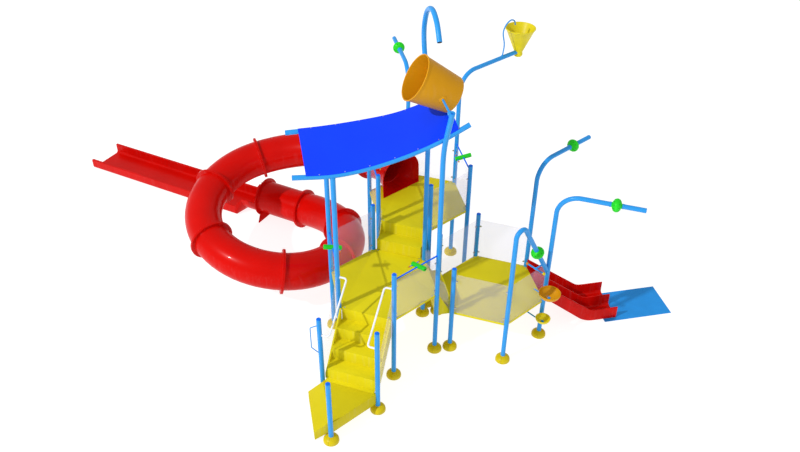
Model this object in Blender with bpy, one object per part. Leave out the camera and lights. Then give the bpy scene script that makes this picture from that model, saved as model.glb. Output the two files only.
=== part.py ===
"""Water play tower: three hexagonal decks on posts, a closed tube slide with one full turn, an open
twin slide, a curved roof under a tipping bucket, spray pipes and small water toys.

Metres, +Z up. The origin is on the ground under the landing's near post. +Y points from the entry
flight towards the upper deck, and +X is to the right as a visitor walks in.
"""
import math

import bmesh
import bpy
from mathutils import Matrix, Vector

# Decks
SIDE = 1.2                      # side of each hexagonal deck
DECK_GAP = 0.35                 # gap between two decks, filled by one step
RISE = 0.28                     # rise of one step between two decks
MIDDLE_Z = 1.62                 # top of the middle deck
UPPER_Z = MIDDLE_Z + 2 * RISE
LOWER_Z = MIDDLE_Z - 2 * RISE
DECK_THICK = 0.055
APOTHEM = SIDE * math.sqrt(3) / 2
PITCH = 2 * APOTHEM + DECK_GAP  # from one deck's centre to the next

# Entry flight and landing
LANDING_Z = 0.49
LANDING_SKIRT = 0.28
FLIGHT_RUN = 1.0                # from the landing to the middle deck
FLIGHT_RISERS = 4
FLIGHT_HALF = 0.53              # half the width of the treads
CHEEK = 0.03
RAMP_RUN = 0.32
RAMP_LOW = 0.25

# Posts and pipes
POST_R = 0.05
FOOT_R = 0.16
POST_ABOVE = 1.2                # a plain post's height over its deck
BALL_R = 0.14
BALL_ALONG = 0.1                # half the ball's length along its pipe
SPRAY_OVER_DECK = 2.78          # height of a spray pipe's level arm over its deck
SPRAY_REACH = 1.7
SPRAY_BALL = 1.13
SPRAY_BEND = 0.45

# Guards
PANEL_THICK = 0.012
PANEL_TOP = 1.04                # clear panel's top over its deck
BAR_OVER_DECK = 1.05
BAR_R = 0.0175
BAR_CLEAR = 0.07                # from the cannon bar's axis down to the panel under it
BARREL_HALF = 0.188             # half the length of a cannon's barrel
BARREL_R = 0.05
CANNON_TILT = 12                # the rise of a cannon's outer end at rest, degrees

# Roof
ROOF_TUBE_R = 0.05
SADDLE = 0.02                   # left-hand posts' tops, under the axes of the tubes they carry
ROOF_SHEET = 0.008
FRONT_EDGE = ((-0.74, 4.87), (0.0, 4.83), (0.7, 4.915), (1.4, 5.10), (2.0, 5.33), (2.56, 5.63))
REAR_EDGE = ((-0.74, 5.13), (0.0, 5.15), (0.7, 5.20), (1.4, 5.29), (2.0, 5.47), (2.56, 5.74))

# Tipping bucket
PIVOT_Z = 6.07
BUCKET_MOUTH_R = 0.445
BUCKET_BASE_R = 0.35
BUCKET_BEHIND = 0.335           # pivot to closed end, along the bucket's axis
BUCKET_AHEAD = 0.525            # pivot to mouth
BUCKET_WALL = 0.012
BUCKET_BASE = 0.029             # thickness of its weighted base
BUCKET_BELOW = 0.035            # bucket's axis under the pivot, so that it hangs tilted
BUCKET_TILT = 30                # the mouth's rise over level in the pouring pose, degrees
ARM_BEND = 1.4
ARM_LEAN = 26                   # lean of the two bucket arms, degrees
SHAFT_R = 0.022
BEARING_R = 0.05

# Tube slide
TUBE_R = 0.43
TUBE_WALL = 0.02
FLANGE_R = 0.515
FLANGE_T = 0.03                 # half the thickness of a bolted pair of flanges
TUBE_SIDES = 16
DOOR_IN = 0.47                  # doorway's distance in from the upper deck's edge
DOOR_HEADING = 150
DOOR_HALF = 0.56
DOOR_HIGH = 0.93
DOOR_LEAN = 0.03                # top of the doorway's rim, back from its foot
FLARE = 0.4                     # length of the entrance's flare
FIRST_RUN = 1.11                # straight length before the first bend
# Length, angle turned and height of the axis at the end of each bend, from the door down
BENDS = ((3.12, 68, 2.08), (1.41, 47, 1.82), (1.83, 60, 1.49), (1.93, 61.5, 1.14),
         (1.51, 54, 0.92), (1.51, 54.5, 0.72), (1.55, 36.5, 0.52))
EXIT_RUN = 1.24
TUBE_EXIT_Z = BENDS[-1][2]
DOOR_TUBE_Z = UPPER_Z + TUBE_R + 0.006
STAY_SPREAD = 0.6               # a stay's foot, out from the tube's axis
TRANSITION = 0.66
RUNOUT = 5.13
RUNOUT_HALF = 0.535
RUNOUT_HIGH = 0.29
RUNOUT_RIM = 0.068             # width of the flat top of its walls

# Twin slide
TWIN_HALF = 0.47
TWIN_SHIFT = 0.07               # the slide's middle, from the middle of its side of the deck
TWIN_WALL = 0.31
TWIN_FOOT = 1.2                 # where the slope meets the flat run-out
TWIN_END = 1.97
MAT_THICK = 0.012

GAP = 0.0003                    # between pieces that touch
SIDES = 12                      # facets round a post or pipe
PIN_SIDES = 16                  # facets round a pin and its bore
PIN_GAP = 0.0004


def turn(degrees):
    """Unit vector in plan at an angle from +X."""
    a = math.radians(degrees)
    return Vector((math.cos(a), math.sin(a), 0))


def corner(centre, degrees):
    """Corner of the hexagonal deck round a centre."""
    return centre + turn(degrees) * SIDE


LANDING_Y = APOTHEM             # where the entry flight leaves the landing
DECK_Y = LANDING_Y + FLIGHT_RUN
MIDDLE = turn(90) * (DECK_Y + APOTHEM)
UPPER = MIDDLE + turn(90) * PITCH
LOWER = MIDDLE + turn(30) * PITCH

MATERIALS = {
    "post_blue": ((0.03, 0.35, 0.85), 0.3, 0.0),
    "roof_blue": ((0.0, 0.06, 0.9), 0.35, 0.0),
    "deck_yellow": ((0.75, 0.62, 0.02), 0.5, 0.0),
    "slide_red": ((0.6, 0.01, 0.01), 0.25, 0.0),
    "bucket_orange": ((0.75, 0.3, 0.02), 0.35, 0.0),
    "toy_green": ((0.02, 0.6, 0.02), 0.35, 0.0),
    "toy_yellow": ((0.8, 0.65, 0.02), 0.35, 0.0),
    "rail_white": ((0.9, 0.9, 0.92), 0.3, 0.0),
    "clear_panel": ((0.9, 0.9, 0.95), 0.1, 0.0),
    "mat_blue": ((0.03, 0.25, 0.7), 0.6, 0.0),
}


def own_material(node, finish):
    """A material of its own for one node, in one of the finishes above."""
    colour, rough, metal = MATERIALS[finish]
    material = bpy.data.materials.new(node)
    material.use_nodes = True
    shader = material.node_tree.nodes["Principled BSDF"]
    shader.inputs["Base Color"].default_value = (*colour, 1)
    shader.inputs["Roughness"].default_value = rough
    shader.inputs["Metallic"].default_value = metal
    if finish == "clear_panel":
        shader.inputs["Alpha"].default_value = 0.3
    return material


def make(node, shape, finish, origin=(0, 0, 0), cutter=False):
    """Object from (points, faces) given in world coordinates, with its origin at a chosen point."""
    points, faces = shape
    origin = Vector(origin)
    mesh = bpy.data.meshes.new(node)
    mesh.from_pydata([Vector(p) - origin for p in points], [], faces)
    shell = bmesh.new()
    shell.from_mesh(mesh)
    bmesh.ops.recalc_face_normals(shell, faces=shell.faces)
    shell.to_mesh(mesh)
    shell.free()
    obj = bpy.data.objects.new(node, mesh)
    obj.location = origin
    bpy.context.collection.objects.link(obj)
    mesh.materials.append(own_material(node, finish))
    mesh.shade_smooth()
    mesh.set_sharp_from_angle(angle=math.radians(35))
    if cutter:
        obj.hide_render = True
        obj.display_type = "WIRE"
    return obj


def combine(obj, others, operation="UNION"):
    """Join pieces to an object, or cut them from it."""
    for i, shape in enumerate(others):
        tool = make(f"{obj.name}_{operation.lower()}_{i}", shape, "post_blue", cutter=True)
        modifier = obj.modifiers.new(tool.name, "BOOLEAN")
        modifier.operation = operation
        modifier.solver = "EXACT"
        modifier.object = tool
    return obj


def loft(loops):
    """Closed solid through loops of equal length, with flat ends."""
    n = len(loops[0])
    points = [p for loop in loops for p in loop]
    faces = [tuple(reversed(range(n)))]
    for i in range(len(loops) - 1):
        for j in range(n):
            k = (j + 1) % n
            faces.append((i * n + j, i * n + k, (i + 1) * n + k, (i + 1) * n + j))
    faces.append(tuple(range((len(loops) - 1) * n, len(loops) * n)))
    return points, faces


def loft_shell(outer, inner):
    """Open-ended shell between outer and inner loops, with ring-shaped ends."""
    n = len(outer[0])
    m = len(outer)
    points = [p for loop in outer for p in loop] + [p for loop in inner for p in loop]
    faces = []
    for i in range(m - 1):
        for j in range(n):
            k = (j + 1) % n
            faces.append((i * n + j, i * n + k, (i + 1) * n + k, (i + 1) * n + j))
            a, b = (m + i) * n, (m + i + 1) * n
            faces.append((a + j, b + j, b + k, a + k))
    for j in range(n):
        k = (j + 1) % n
        faces.append((j, m * n + j, m * n + k, k))
        a, b = (m - 1) * n, (2 * m - 1) * n
        faces.append((a + j, a + k, b + k, b + j))
    return points, faces


def frames(path):
    """Two cross directions at each point of a path, carried along without twist."""
    tangents = []
    for i in range(len(path)):
        before = path[max(i - 1, 0)]
        after = path[min(i + 1, len(path) - 1)]
        tangents.append((after - before).normalized())
    side = Vector((1, 0, 0)) if abs(tangents[0].z) > 0.9 else Vector((0, 0, 1))
    result = []
    for tangent in tangents:
        side = (side - tangent * side.dot(tangent)).normalized()
        result.append((side, tangent.cross(side)))
    return result


def sweep(path, radii, sides=SIDES):
    """Round bar along a path; radii is one number or one for each point."""
    path = [Vector(p) for p in path]
    if not isinstance(radii, (list, tuple)):
        radii = [radii] * len(path)
    loops = []
    for point, radius, (u, v) in zip(path, radii, frames(path)):
        angles = [2 * math.pi * j / sides for j in range(sides)]
        loops.append([point + (u * math.cos(a) + v * math.sin(a)) * radius for a in angles])
    return loft(loops)


def bore_radius(pin_radius):
    """Radius of a faceted bore that a faceted pin can turn in."""
    return (pin_radius + PIN_GAP) / math.cos(math.pi / PIN_SIDES)


def fillet(corners, radius, steps=5):
    """Path through corner points, with each inner corner rounded to a radius."""
    corners = [Vector(c) for c in corners]
    path = [corners[0]]
    for before, here, after in zip(corners, corners[1:], corners[2:]):
        a = (before - here).normalized()
        b = (after - here).normalized()
        half = a.angle(b) / 2
        centre = here + (a + b).normalized() * radius / math.sin(half)
        start = here + a * radius / math.tan(half) - centre
        end = here + b * radius / math.tan(half) - centre
        path += [centre + start.slerp(end, i / steps) * radius for i in range(steps + 1)]
    path.append(corners[-1])
    return path


def smooth(keys, steps):
    """Curve through key points (numbers or vectors in plan and height), evenly cut."""
    keys = [Vector(k) for k in keys]
    ends = [keys[0] * 2 - keys[1]] + keys + [keys[-1] * 2 - keys[-2]]
    path = []
    for p0, p1, p2, p3 in zip(ends, ends[1:], ends[2:], ends[3:]):
        for i in range(steps):
            t = i / steps
            path.append(0.5 * (2 * p1 + (p2 - p0) * t + (2 * p0 - 5 * p1 + 4 * p2 - p3) * t ** 2
                               + (3 * p1 - p0 - 3 * p2 + p3) * t ** 3))
    path.append(keys[-1])
    return path


def turned(profile, sides, place=None):
    """Solid of revolution about Z; the profile runs from axis to axis, as (radius, height)."""
    points, faces, rows = [], [], []
    for radius, height in profile:
        if radius == 0:
            rows.append([len(points)] * sides)
            points.append(Vector((0, 0, height)))
        else:
            rows.append(list(range(len(points), len(points) + sides)))
            for j in range(sides):
                a = 2 * math.pi * j / sides
                points.append(Vector((radius * math.cos(a), radius * math.sin(a), height)))
    for low, high in zip(rows, rows[1:]):
        for j in range(sides):
            k = (j + 1) % sides
            face = [low[j], low[k], high[k], high[j]]
            faces.append(tuple(dict.fromkeys(face)))
    if place:
        points = [place @ p for p in points]
    return points, faces


def plate(outline, low, high):
    """Upright plate from an outline in plan."""
    return loft([[Vector((x, y, z)) for x, y in outline] for z in (low, high)])


def slab(outline, origin, along, thick):
    """Plate standing on edge: the outline is (distance along, height), its thickness is level."""
    along = Vector(along)
    across = Vector((-along.y, along.x, 0)) * thick / 2
    loops = []
    for side in (across, -across):
        loops.append([Vector(origin) + along * s + Vector((0, 0, z)) + side for s, z in outline])
    return loft(loops)


def foot(x, y):
    """Path and radii of a post's domed foot, from the ground up to the post's own size."""
    rings = ((0.0, 0.93), (0.25, 1.0), (0.65, 0.78), (0.93, POST_R / FOOT_R))
    return [Vector((x, y, FOOT_R * h)) for h, _ in rings], [FOOT_R * r for _, r in rings]


def post(base, top):
    """Plain upright post with its foot and a slightly rounded top."""
    path, radii = foot(base.x, base.y)
    for z, r in ((top - 0.012, POST_R), (top, POST_R * 0.8)):
        path.append(Vector((base.x, base.y, z)))
        radii.append(r)
    return sweep(path, radii)


def pipe_post(base, route, ball_at=None):
    """Post that runs on as a bent pipe; ball_at is the length from the pipe's end to a ball."""
    path, radii = foot(base.x, base.y)
    path += route
    radii += [POST_R] * len(route)
    if ball_at is not None:
        end, before = path[-1], path[-2]
        back = (before - end).normalized()
        bulge = [(math.cos(math.radians(a)), math.sin(math.radians(a))) for a in range(20, 161, 28)]
        path = path[:-1] + [end + back * (ball_at + BALL_ALONG * c) for c, _ in bulge] + [end]
        radii = radii[:-1] + [BALL_R * s for _, s in bulge] + [POST_R]
    return sweep(path, radii)


def remove_start_objects():
    for obj in list(bpy.data.objects):
        bpy.data.objects.remove(obj, do_unlink=True)


def notched(corners, posts):
    """Outline in plan with a round notch at each corner that holds a post."""
    clear = (POST_R + GAP) / math.cos(math.radians(10))
    outline = []
    for i, here in enumerate(corners):
        if i not in posts:
            outline.append((here.x, here.y))
            continue
        before = corners[i - 1] - here
        after = corners[(i + 1) % len(corners)] - here
        a0 = math.atan2(before.y, before.x)
        sweep_angle = (a0 - math.atan2(after.y, after.x)) % (2 * math.pi)
        steps = max(3, round(math.degrees(sweep_angle) / 20))
        for j in range(steps + 1):
            a = a0 - sweep_angle * j / steps
            outline.append((here.x + clear * math.cos(a), here.y + clear * math.sin(a)))
    return outline


def decks():
    for name, centre, z in (("middle_deck", MIDDLE, MIDDLE_Z), ("upper_deck", UPPER, UPPER_Z),
                            ("lower_deck", LOWER, LOWER_Z)):
        corners = [corner(centre, 60 * k) for k in range(6)]
        make(name, plate(notched(corners, range(6)), z - DECK_THICK, z), "deck_yellow",
             centre + Vector((0, 0, z)))


LANDING = [Vector((-SIDE / 2, LANDING_Y, 0)), Vector((0, 0, 0)), Vector((SIDE / 2, LANDING_Y, 0))]


def landing():
    """Triangular landing with a skirt, and a short ramp down its left side."""
    body = make("landing", plate(notched(LANDING, range(3)), LANDING_Z - LANDING_SKIRT, LANDING_Z),
                "deck_yellow", (0, LANDING_Y, LANDING_Z))
    left, near = LANDING[0], LANDING[1]
    along = (near - left).normalized()
    out = Vector((along.y, -along.x, 0))
    clear, wall = POST_R * 1.25, 0.03

    def along_ramp(outline, near_s, far_s):
        return loft([[left + along * s + out * d + Vector((0, 0, z)) for d, z in outline]
                     for s in (near_s, far_s)])

    ramp = [(-0.02, LANDING_Z - LANDING_SKIRT), (-0.02, LANDING_Z - 0.001), (0.0, LANDING_Z - 0.001),
            (RAMP_RUN, RAMP_LOW), (RAMP_RUN, 0.02)]
    hollow = [(0.05, 0), (0.05, LANDING_Z - 0.09), (RAMP_RUN - wall, RAMP_LOW - wall), (RAMP_RUN - wall, 0)]
    combine(body, [along_ramp(ramp, clear, SIDE - clear)])
    combine(body, [along_ramp(hollow, clear + wall, SIDE - clear - wall)], "DIFFERENCE")


def flight():
    """Entry flight with closed risers, moulded in one piece with its two cheeks."""
    rise = (MIDDLE_Z - LANDING_Z) / FLIGHT_RISERS
    going = (FLIGHT_RUN - 0.05) / (FLIGHT_RISERS - 1)
    y0 = LANDING_Y + 0.05
    top_y = DECK_Y - GAP
    toe = 0.02
    front = LANDING_Y - 0.04
    outline = [(front, LANDING_Z + GAP), (front, LANDING_Z + toe), (y0, LANDING_Z + toe)]
    for i in range(FLIGHT_RISERS - 1):
        outline.append((y0 + i * going, LANDING_Z + (i + 1) * rise))
        outline.append((min(y0 + (i + 1) * going, top_y - toe), LANDING_Z + (i + 1) * rise))
    outline += [(top_y - toe, MIDDLE_Z), (top_y, MIDDLE_Z), (top_y, LANDING_Z + 3 * rise - 0.16),
                (y0 + 0.2, LANDING_Z + GAP)]
    steps = [[Vector((x, y, z)) for y, z in outline] for x in (-FLIGHT_HALF, FLIGHT_HALF)]
    body = make("entry_flight", loft(steps), "deck_yellow", (0, LANDING_Y, LANDING_Z))
    post_clear = POST_R + 0.004
    cheek = [(LANDING_Y + post_clear, LANDING_Z + GAP), (LANDING_Y + post_clear, LANDING_Z + 0.12),
             (DECK_Y - post_clear, MIDDLE_Z + 0.03), (DECK_Y - post_clear, MIDDLE_Z - 0.42),
             (y0 + 0.24, LANDING_Z + GAP)]
    cheeks = []
    for x in (-FLIGHT_HALF, FLIGHT_HALF):
        inner, outer = x * 0.995, x + math.copysign(CHEEK, x)
        cheeks.append(loft([[Vector((a, y, z)) for y, z in cheek] for a in sorted((inner, outer))]))
    combine(body, cheeks)


def step_between(name, centre, heading, low_z, climbing):
    """One tread that fills the gap between two decks, with its upper riser and a guard each side."""
    along = turn(heading)
    across = turn(heading + 90)
    start = centre + along * (APOTHEM + GAP)
    run = DECK_GAP - 2 * GAP
    tread_z, high_z = low_z + RISE, low_z + 2 * RISE
    riser = 0.02
    outline = [(0, low_z - DECK_THICK), (0, tread_z), (run - riser, tread_z),
               (run - riser, high_z), (run, high_z), (run, low_z - DECK_THICK)]
    guard = [(GAP, low_z - 0.1), (GAP, low_z + 0.02), (0.04, low_z + 0.1), (0.08, high_z - 0.12),
             (0.15, high_z + 0.16), (0.23, high_z + 0.28), (run - GAP, high_z + 0.31),
             (run - GAP, low_z - 0.1)]
    if not climbing:
        outline = [(run - s, z) for s, z in outline]
        guard = [(run - s, z) for s, z in guard]

    def along_gap(shape, near, far):
        return [[start + along * s + across * w + Vector((0, 0, z)) for s, z in shape]
                for w in (near, far)]

    half = SIDE / 2 - POST_R - 0.035
    body = make(name, loft(along_gap(outline, -half, half)), "deck_yellow", start)
    guards = []
    for side in (-1, 1):
        w = sorted((side * (half - 0.001), side * (half + 0.014)))
        guards.append(loft(along_gap(guard, *w)))
    combine(body, guards)


def clear_panel(name, a, b, deck_z, height, far_corner=()):
    """Clear guard panel that stands on a deck's edge between two posts; far_corner replaces its
    upper corner at b."""
    along = (b - a).normalized()
    inward = Vector((-along.y, along.x, 0)) * (PANEL_THICK / 2 + GAP)
    end = POST_R + GAP
    length = (b - a).length
    far_corner = far_corner or ((length - end, height),)
    outline = [(end, GAP), (length - end, GAP), *far_corner, (end, height)]
    origin = a + inward + Vector((0, 0, deck_z))
    return make(name, slab(outline, origin, along, PANEL_THICK), "clear_panel", origin)


def cannon_bar(a, b, deck_z):
    z = Vector((0, 0, deck_z + BAR_OVER_DECK))
    return sweep([a + z, b + z], BAR_R, PIN_SIDES)


def cannon(name, a, b, deck_z, share):
    """Water cannon on its bar: a barrel bored for the bar, and a handlebar with round tips."""
    along = (b - a).normalized()
    tilt = math.radians(CANNON_TILT)
    aim = Vector((-along.y, along.x, 0)) * math.cos(tilt) - Vector((0, 0, 1)) * math.sin(tilt)
    pivot = a + (b - a) * share + Vector((0, 0, deck_z + BAR_OVER_DECK))
    tip = BARREL_HALF - 0.006
    barrel = [(BARREL_HALF, BARREL_R - 0.006), (tip, BARREL_R), (-tip, BARREL_R),
              (-BARREL_HALF, BARREL_R - 0.006)]
    body = make(name, sweep([pivot + aim * s for s, _ in barrel], [r for _, r in barrel]),
                "toy_green", pivot)
    grip = pivot + aim * 0.14
    knob = [(-0.155, 0.018), (-0.125, 0.018), (-0.12, 0.01), (0.12, 0.01), (0.125, 0.018), (0.155, 0.018)]
    combine(body, [sweep([grip + along * s for s, _ in knob], [r for _, r in knob], 8)])
    bore = sweep([pivot - along * 0.1, pivot + along * 0.1], bore_radius(BAR_R), PIN_SIDES)
    combine(body, [bore], "DIFFERENCE")


def roof_height(keys, s):
    """Height of a roof tube's axis at a distance along the roof."""
    curve = smooth([(k, z, 0) for k, z in keys], 8)
    for p, q in zip(curve, curve[1:]):
        if p.x <= s <= q.x:
            return p.y + (q.y - p.y) * (s - p.x) / (q.x - p.x)
    return curve[-1].y


def roof_curve(keys, start):
    """A roof tube's axis in space."""
    return [start + ROOF_ALONG * p.x + Vector((0, 0, p.y)) for p in smooth([(s, z, 0) for s, z in keys], 3)]


def arm_start(tube_z):
    """Height where a bucket arm starts to bend, so that it just passes beside a roof tube."""
    beside = POST_R + ROOF_TUBE_R + GAP
    return tube_z - math.sqrt((ARM_BEND + beside) ** 2 - ARM_BEND ** 2)


def arm_path(base, out, bend_z):
    """First part of a bucket arm: upright, then bent outwards to its lean."""
    path = [base + Vector((0, 0, bend_z))]
    for i in range(1, 6):
        a = math.radians(ARM_LEAN * i / 5)
        path.append(base + Vector((0, 0, bend_z + ARM_BEND * math.sin(a)))
                    + out * ARM_BEND * (1 - math.cos(a)))
    return path


def at_height(path, z):
    """Point where a rising path passes a height."""
    for p, q in zip(path, path[1:]):
        if p.z <= z <= q.z:
            return p.lerp(q, (z - p.z) / (q.z - p.z))
    return path[-1]


ROOF_ALONG = turn(30)
ROOF_ACROSS = turn(120)
CHORD = SIDE * math.sqrt(3)              # between the two posts that carry each roof tube
PIVOT = (corner(MIDDLE, 0) + corner(MIDDLE, 60)) / 2 + Vector((0, 0, PIVOT_Z))


def bearing(arm_point, towards):
    """Bearing housing on a bucket arm, and the blind bore that takes the bucket's shaft."""
    housing = sweep([arm_point, arm_point + towards * 0.15], BEARING_R)
    bore = sweep([arm_point + towards * 0.065, arm_point + towards * 0.2],
                 bore_radius(SHAFT_R), PIN_SIDES)
    return housing, bore


def roof_posts():
    """Posts of the middle deck, with the bars, arms and roof tubes that they carry."""
    front_left, rear_left = corner(MIDDLE, 240), corner(MIDDLE, 180)
    front_top, rear_top = (roof_height(edge, 0) - SADDLE for edge in (FRONT_EDGE, REAR_EDGE))
    pair = make("roof_posts_left", post(front_left, front_top), "post_blue", front_left)
    combine(pair, [post(rear_left, rear_top), cannon_bar(rear_left, front_left, MIDDLE_Z),
                   sweep(roof_curve(FRONT_EDGE, front_left), ROOF_TUBE_R, TUBE_SIDES),
                   sweep(roof_curve(REAR_EDGE, rear_left), ROOF_TUBE_R, TUBE_SIDES)])

    stair_post, arm_base = corner(MIDDLE, 300), corner(MIDDLE, 0)
    bend_z = arm_start(roof_height(FRONT_EDGE, CHORD))
    path = arm_path(arm_base, -ROOF_ACROSS, bend_z)
    lean = (path[-1] - path[-2]).normalized()
    path.append(path[-1] + lean * ((PIVOT_Z + 0.09 - path[-1].z) / lean.z))
    arm_point = at_height(path, PIVOT_Z)
    housing, bore = bearing(arm_point, ROOF_ACROSS)
    pair = make("bucket_post_right", pipe_post(arm_base, path), "post_blue", arm_base)
    combine(pair, [post(stair_post, MIDDLE_Z + POST_ABOVE), housing,
                   cannon_bar(stair_post, arm_base, MIDDLE_Z)])
    combine(pair, [bore], "DIFFERENCE")
    near_end = arm_point + ROOF_ACROSS * 0.075

    base = corner(MIDDLE, 60)
    bend_z = arm_start(roof_height(REAR_EDGE, CHORD))
    path = arm_path(base, ROOF_ACROSS, bend_z)
    middle = PIVOT.copy()
    middle.z = 0
    keys = [path[-1]] + [middle + ROOF_ACROSS * s + Vector((0, 0, z)) for s, z in (
        (0.92, 6.0), (1.15, 6.42), (1.2, 6.8), (1.0, 7.19), (0.62, 7.37), (0.26, 7.27), (0.0, 7.0))]
    path += smooth(keys, 3)[1:]
    arm_point = at_height(path, PIVOT_Z)
    housing, bore = bearing(arm_point, -ROOF_ACROSS)
    spout = make("fill_spout_post", pipe_post(base, path), "post_blue", base)
    combine(spout, [housing])
    combine(spout, [bore], "DIFFERENCE")
    far_end = arm_point - ROOF_ACROSS * 0.075

    base = corner(MIDDLE, 120)
    make("middle_post_rear", post(base, MIDDLE_Z + POST_ABOVE), "post_blue", base)
    return near_end, far_end


CONE_REACH = 1.9                # from the post to the cone's axis
CONE_LOW = 4.88
CONE_HIGH = 0.7
CONE_RIM_R = 0.345
CONE_FOOT_R = 0.105
CONE_NECK_R = 0.095
CONE_NECK_Z = 0.115
CONE_SIDES = 24
CONE_OUTSIDE = ((0.07, 0), (0.1, 0.025), (CONE_FOOT_R, 0.06), (0.1, 0.095), (CONE_NECK_R, CONE_NECK_Z),
                (CONE_RIM_R - 0.006, CONE_HIGH - 0.03))


def upper_posts():
    top = UPPER_Z + POST_ABOVE
    a, b = corner(UPPER, 180), corner(UPPER, 240)
    pair = make("upper_posts_left", post(a, top), "post_blue", a)
    combine(pair, [post(b, top), cannon_bar(a, b, UPPER_Z)])
    base = corner(UPPER, 300)
    make("upper_post_front", post(base, top), "post_blue", base)
    spray_post("spray_post_rear", UPPER, 120, UPPER_Z)

    short, tall = corner(UPPER, 0), corner(UPPER, 60)
    arm_z = UPPER_Z + SPRAY_OVER_DECK + 0.04
    reach = CONE_REACH - CONE_FOOT_R + 0.02     # into the cone's neck, and cut to its shape below
    route = fillet([tall + Vector((0, 0, 0.3)), tall + Vector((0, 0, arm_z)),
                    tall + turn(60) * reach + Vector((0, 0, arm_z))], SPRAY_BEND)
    pair = make("cone_arm_posts", pipe_post(tall, route), "post_blue", tall)
    axis = tall + turn(60) * CONE_REACH + Vector((0, 0, CONE_LOW))
    outside = [(r + GAP, z) for r, z in CONE_OUTSIDE]
    core = [(0, -0.05), (outside[0][0], -0.05), *outside, (0, outside[-1][1])]
    combine(pair, [turned(core, CONE_SIDES, Matrix.Translation(axis))], "DIFFERENCE")
    feed = [tall + turn(60) * d + Vector((0, 0, z)) for d, z in (
        (1.34, arm_z), (1.38, 5.3), (1.31, 5.6), (1.38, 5.77), (1.53, 5.85), (1.66, 5.8), (1.7, 5.7))]
    combine(pair, [post(short, top), sweep(smooth(feed, 3), 0.016, 8), cannon_bar(short, tall, UPPER_Z)])


def water_cone():
    """Open cone that is filled by the thin tube hooked over its rim."""
    axis = corner(UPPER, 60) + turn(60) * CONE_REACH + Vector((0, 0, CONE_LOW))
    wall = 0.012
    top, rim = CONE_HIGH, CONE_RIM_R + 0.008
    floor = CONE_NECK_Z + 0.01
    profile = [(0, 0), *CONE_OUTSIDE, (rim, top - 0.02), (rim, top), (CONE_RIM_R - wall, top),
               (CONE_NECK_R - 0.005, floor), (0, floor)]
    make("water_cone", turned(profile, CONE_SIDES, Matrix.Translation(axis)), "toy_yellow", axis)


def spray_post(name, centre, heading, deck_z):
    """Corner post that runs up and bends outwards to a level spray pipe with a ball on it."""
    base = corner(centre, heading)
    height = Vector((0, 0, deck_z + SPRAY_OVER_DECK))
    route = fillet([base + Vector((0, 0, 0.3)), base + height,
                    base + height + turn(heading) * SPRAY_REACH], SPRAY_BEND)
    return make(name, pipe_post(base, route, SPRAY_REACH - SPRAY_BALL), "post_blue", base)


ARCH_CORNER = 3.86              # where the arch's upright and slope would meet
ARCH_FOOT = 1.84                # height of its joint on the far post
ARCH_BALL = 0.884               # from that joint up the slope to its ball
VALVE_Z = 2.17
STEM_R = 0.018


def lower_posts():
    top = LOWER_Z + POST_ABOVE
    for name, angle in (("lower_post_front", 240), ("lower_post_inner", 180), ("lower_post_rear", 120)):
        base = corner(LOWER, angle)
        make(name, post(base, top), "post_blue", base)
    spray_post("spray_post_slide", LOWER, 60, LOWER_Z)
    far = spray_post("arch_posts", LOWER, 0, LOWER_Z)
    near_base, far_base = corner(LOWER, 300), corner(LOWER, 0)
    route = fillet([near_base + Vector((0, 0, 0.3)), near_base + Vector((0, 0, ARCH_CORNER)),
                    far_base + Vector((0, 0, ARCH_FOOT))], 0.15, 8)
    arch = pipe_post(near_base, route, ARCH_BALL)
    combine(far, [arch])
    along = (far_base - near_base).normalized()
    stem = sweep([near_base + along * s + Vector((0, 0, VALVE_Z)) for s in (0.9, 0.995)],
                 bore_radius(STEM_R), PIN_SIDES)
    combine(far, [stem], "DIFFERENCE")


def valve_handle():
    """T-handle: a stem in the arch pipe, a crossbar and two round grips."""
    base = corner(LOWER, 300)
    along = (corner(LOWER, 0) - base).normalized()
    across = Vector((-along.y, along.x, 0))
    hub = base + along * 0.76 + Vector((0, 0, VALVE_Z))
    body = make("valve_handle", sweep([hub, hub + along * 0.22], STEM_R, PIN_SIDES), "post_blue", hub)
    bar = [(-0.25, 0.03), (-0.2, 0.03), (-0.19, 0.02), (0.19, 0.02), (0.2, 0.03), (0.25, 0.03)]
    combine(body, [sweep([hub + across * s for s, _ in bar], [r for _, r in bar])])


UPPER_DISH = corner(LOWER, 0) + Vector((0.137, -0.304, 1.55))
UPPER_DISH_DEPTH = 0.17
LOWER_DISH = corner(LOWER, 0) + Vector((0.069, -0.239, 0.75))
ROD_HEADING = 150


def dish(name, centre, radius, depth, rod):
    """Round dish on an arm from the spray post, with a thin rod that runs out behind it."""
    wall = 0.014
    arc = [(math.cos(math.radians(a)), math.sin(math.radians(a))) for a in (58, 35, 12)]
    profile = [(0, -depth), (radius * 0.35, -depth)]
    profile += [(radius * c, -depth * s) for c, s in arc] + [(radius, 0)]
    inner, low = radius - wall, depth - 0.02
    profile += [(inner, 0)] + [(inner * c, -low * s) for c, s in reversed(arc)]
    profile += [(radius * 0.3, -low), (0, -low)]
    body = make(name, turned(profile, 16, Matrix.Translation(centre)), "bucket_orange", centre)
    start = centre - Vector((0, 0, depth - 0.006))
    target = corner(LOWER, 0)
    target.z = start.z
    arm = sweep([start.lerp(target, 0.15), start.lerp(target, 0.95)], 0.02)
    back = turn(ROD_HEADING)
    handle = sweep([start - back * 0.03, start + back * rod], 0.016)
    combine(body, [arm, handle])
    tall = Vector((0, 0, 0.1))
    combine(body, [sweep([target - tall, target + tall], POST_R + GAP)], "DIFFERENCE")


def dishes():
    dish("upper_dish", UPPER_DISH, 0.235, UPPER_DISH_DEPTH, 0.42)
    dish("lower_dish", LOWER_DISH, 0.165, 0.13, 0.5)


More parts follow.
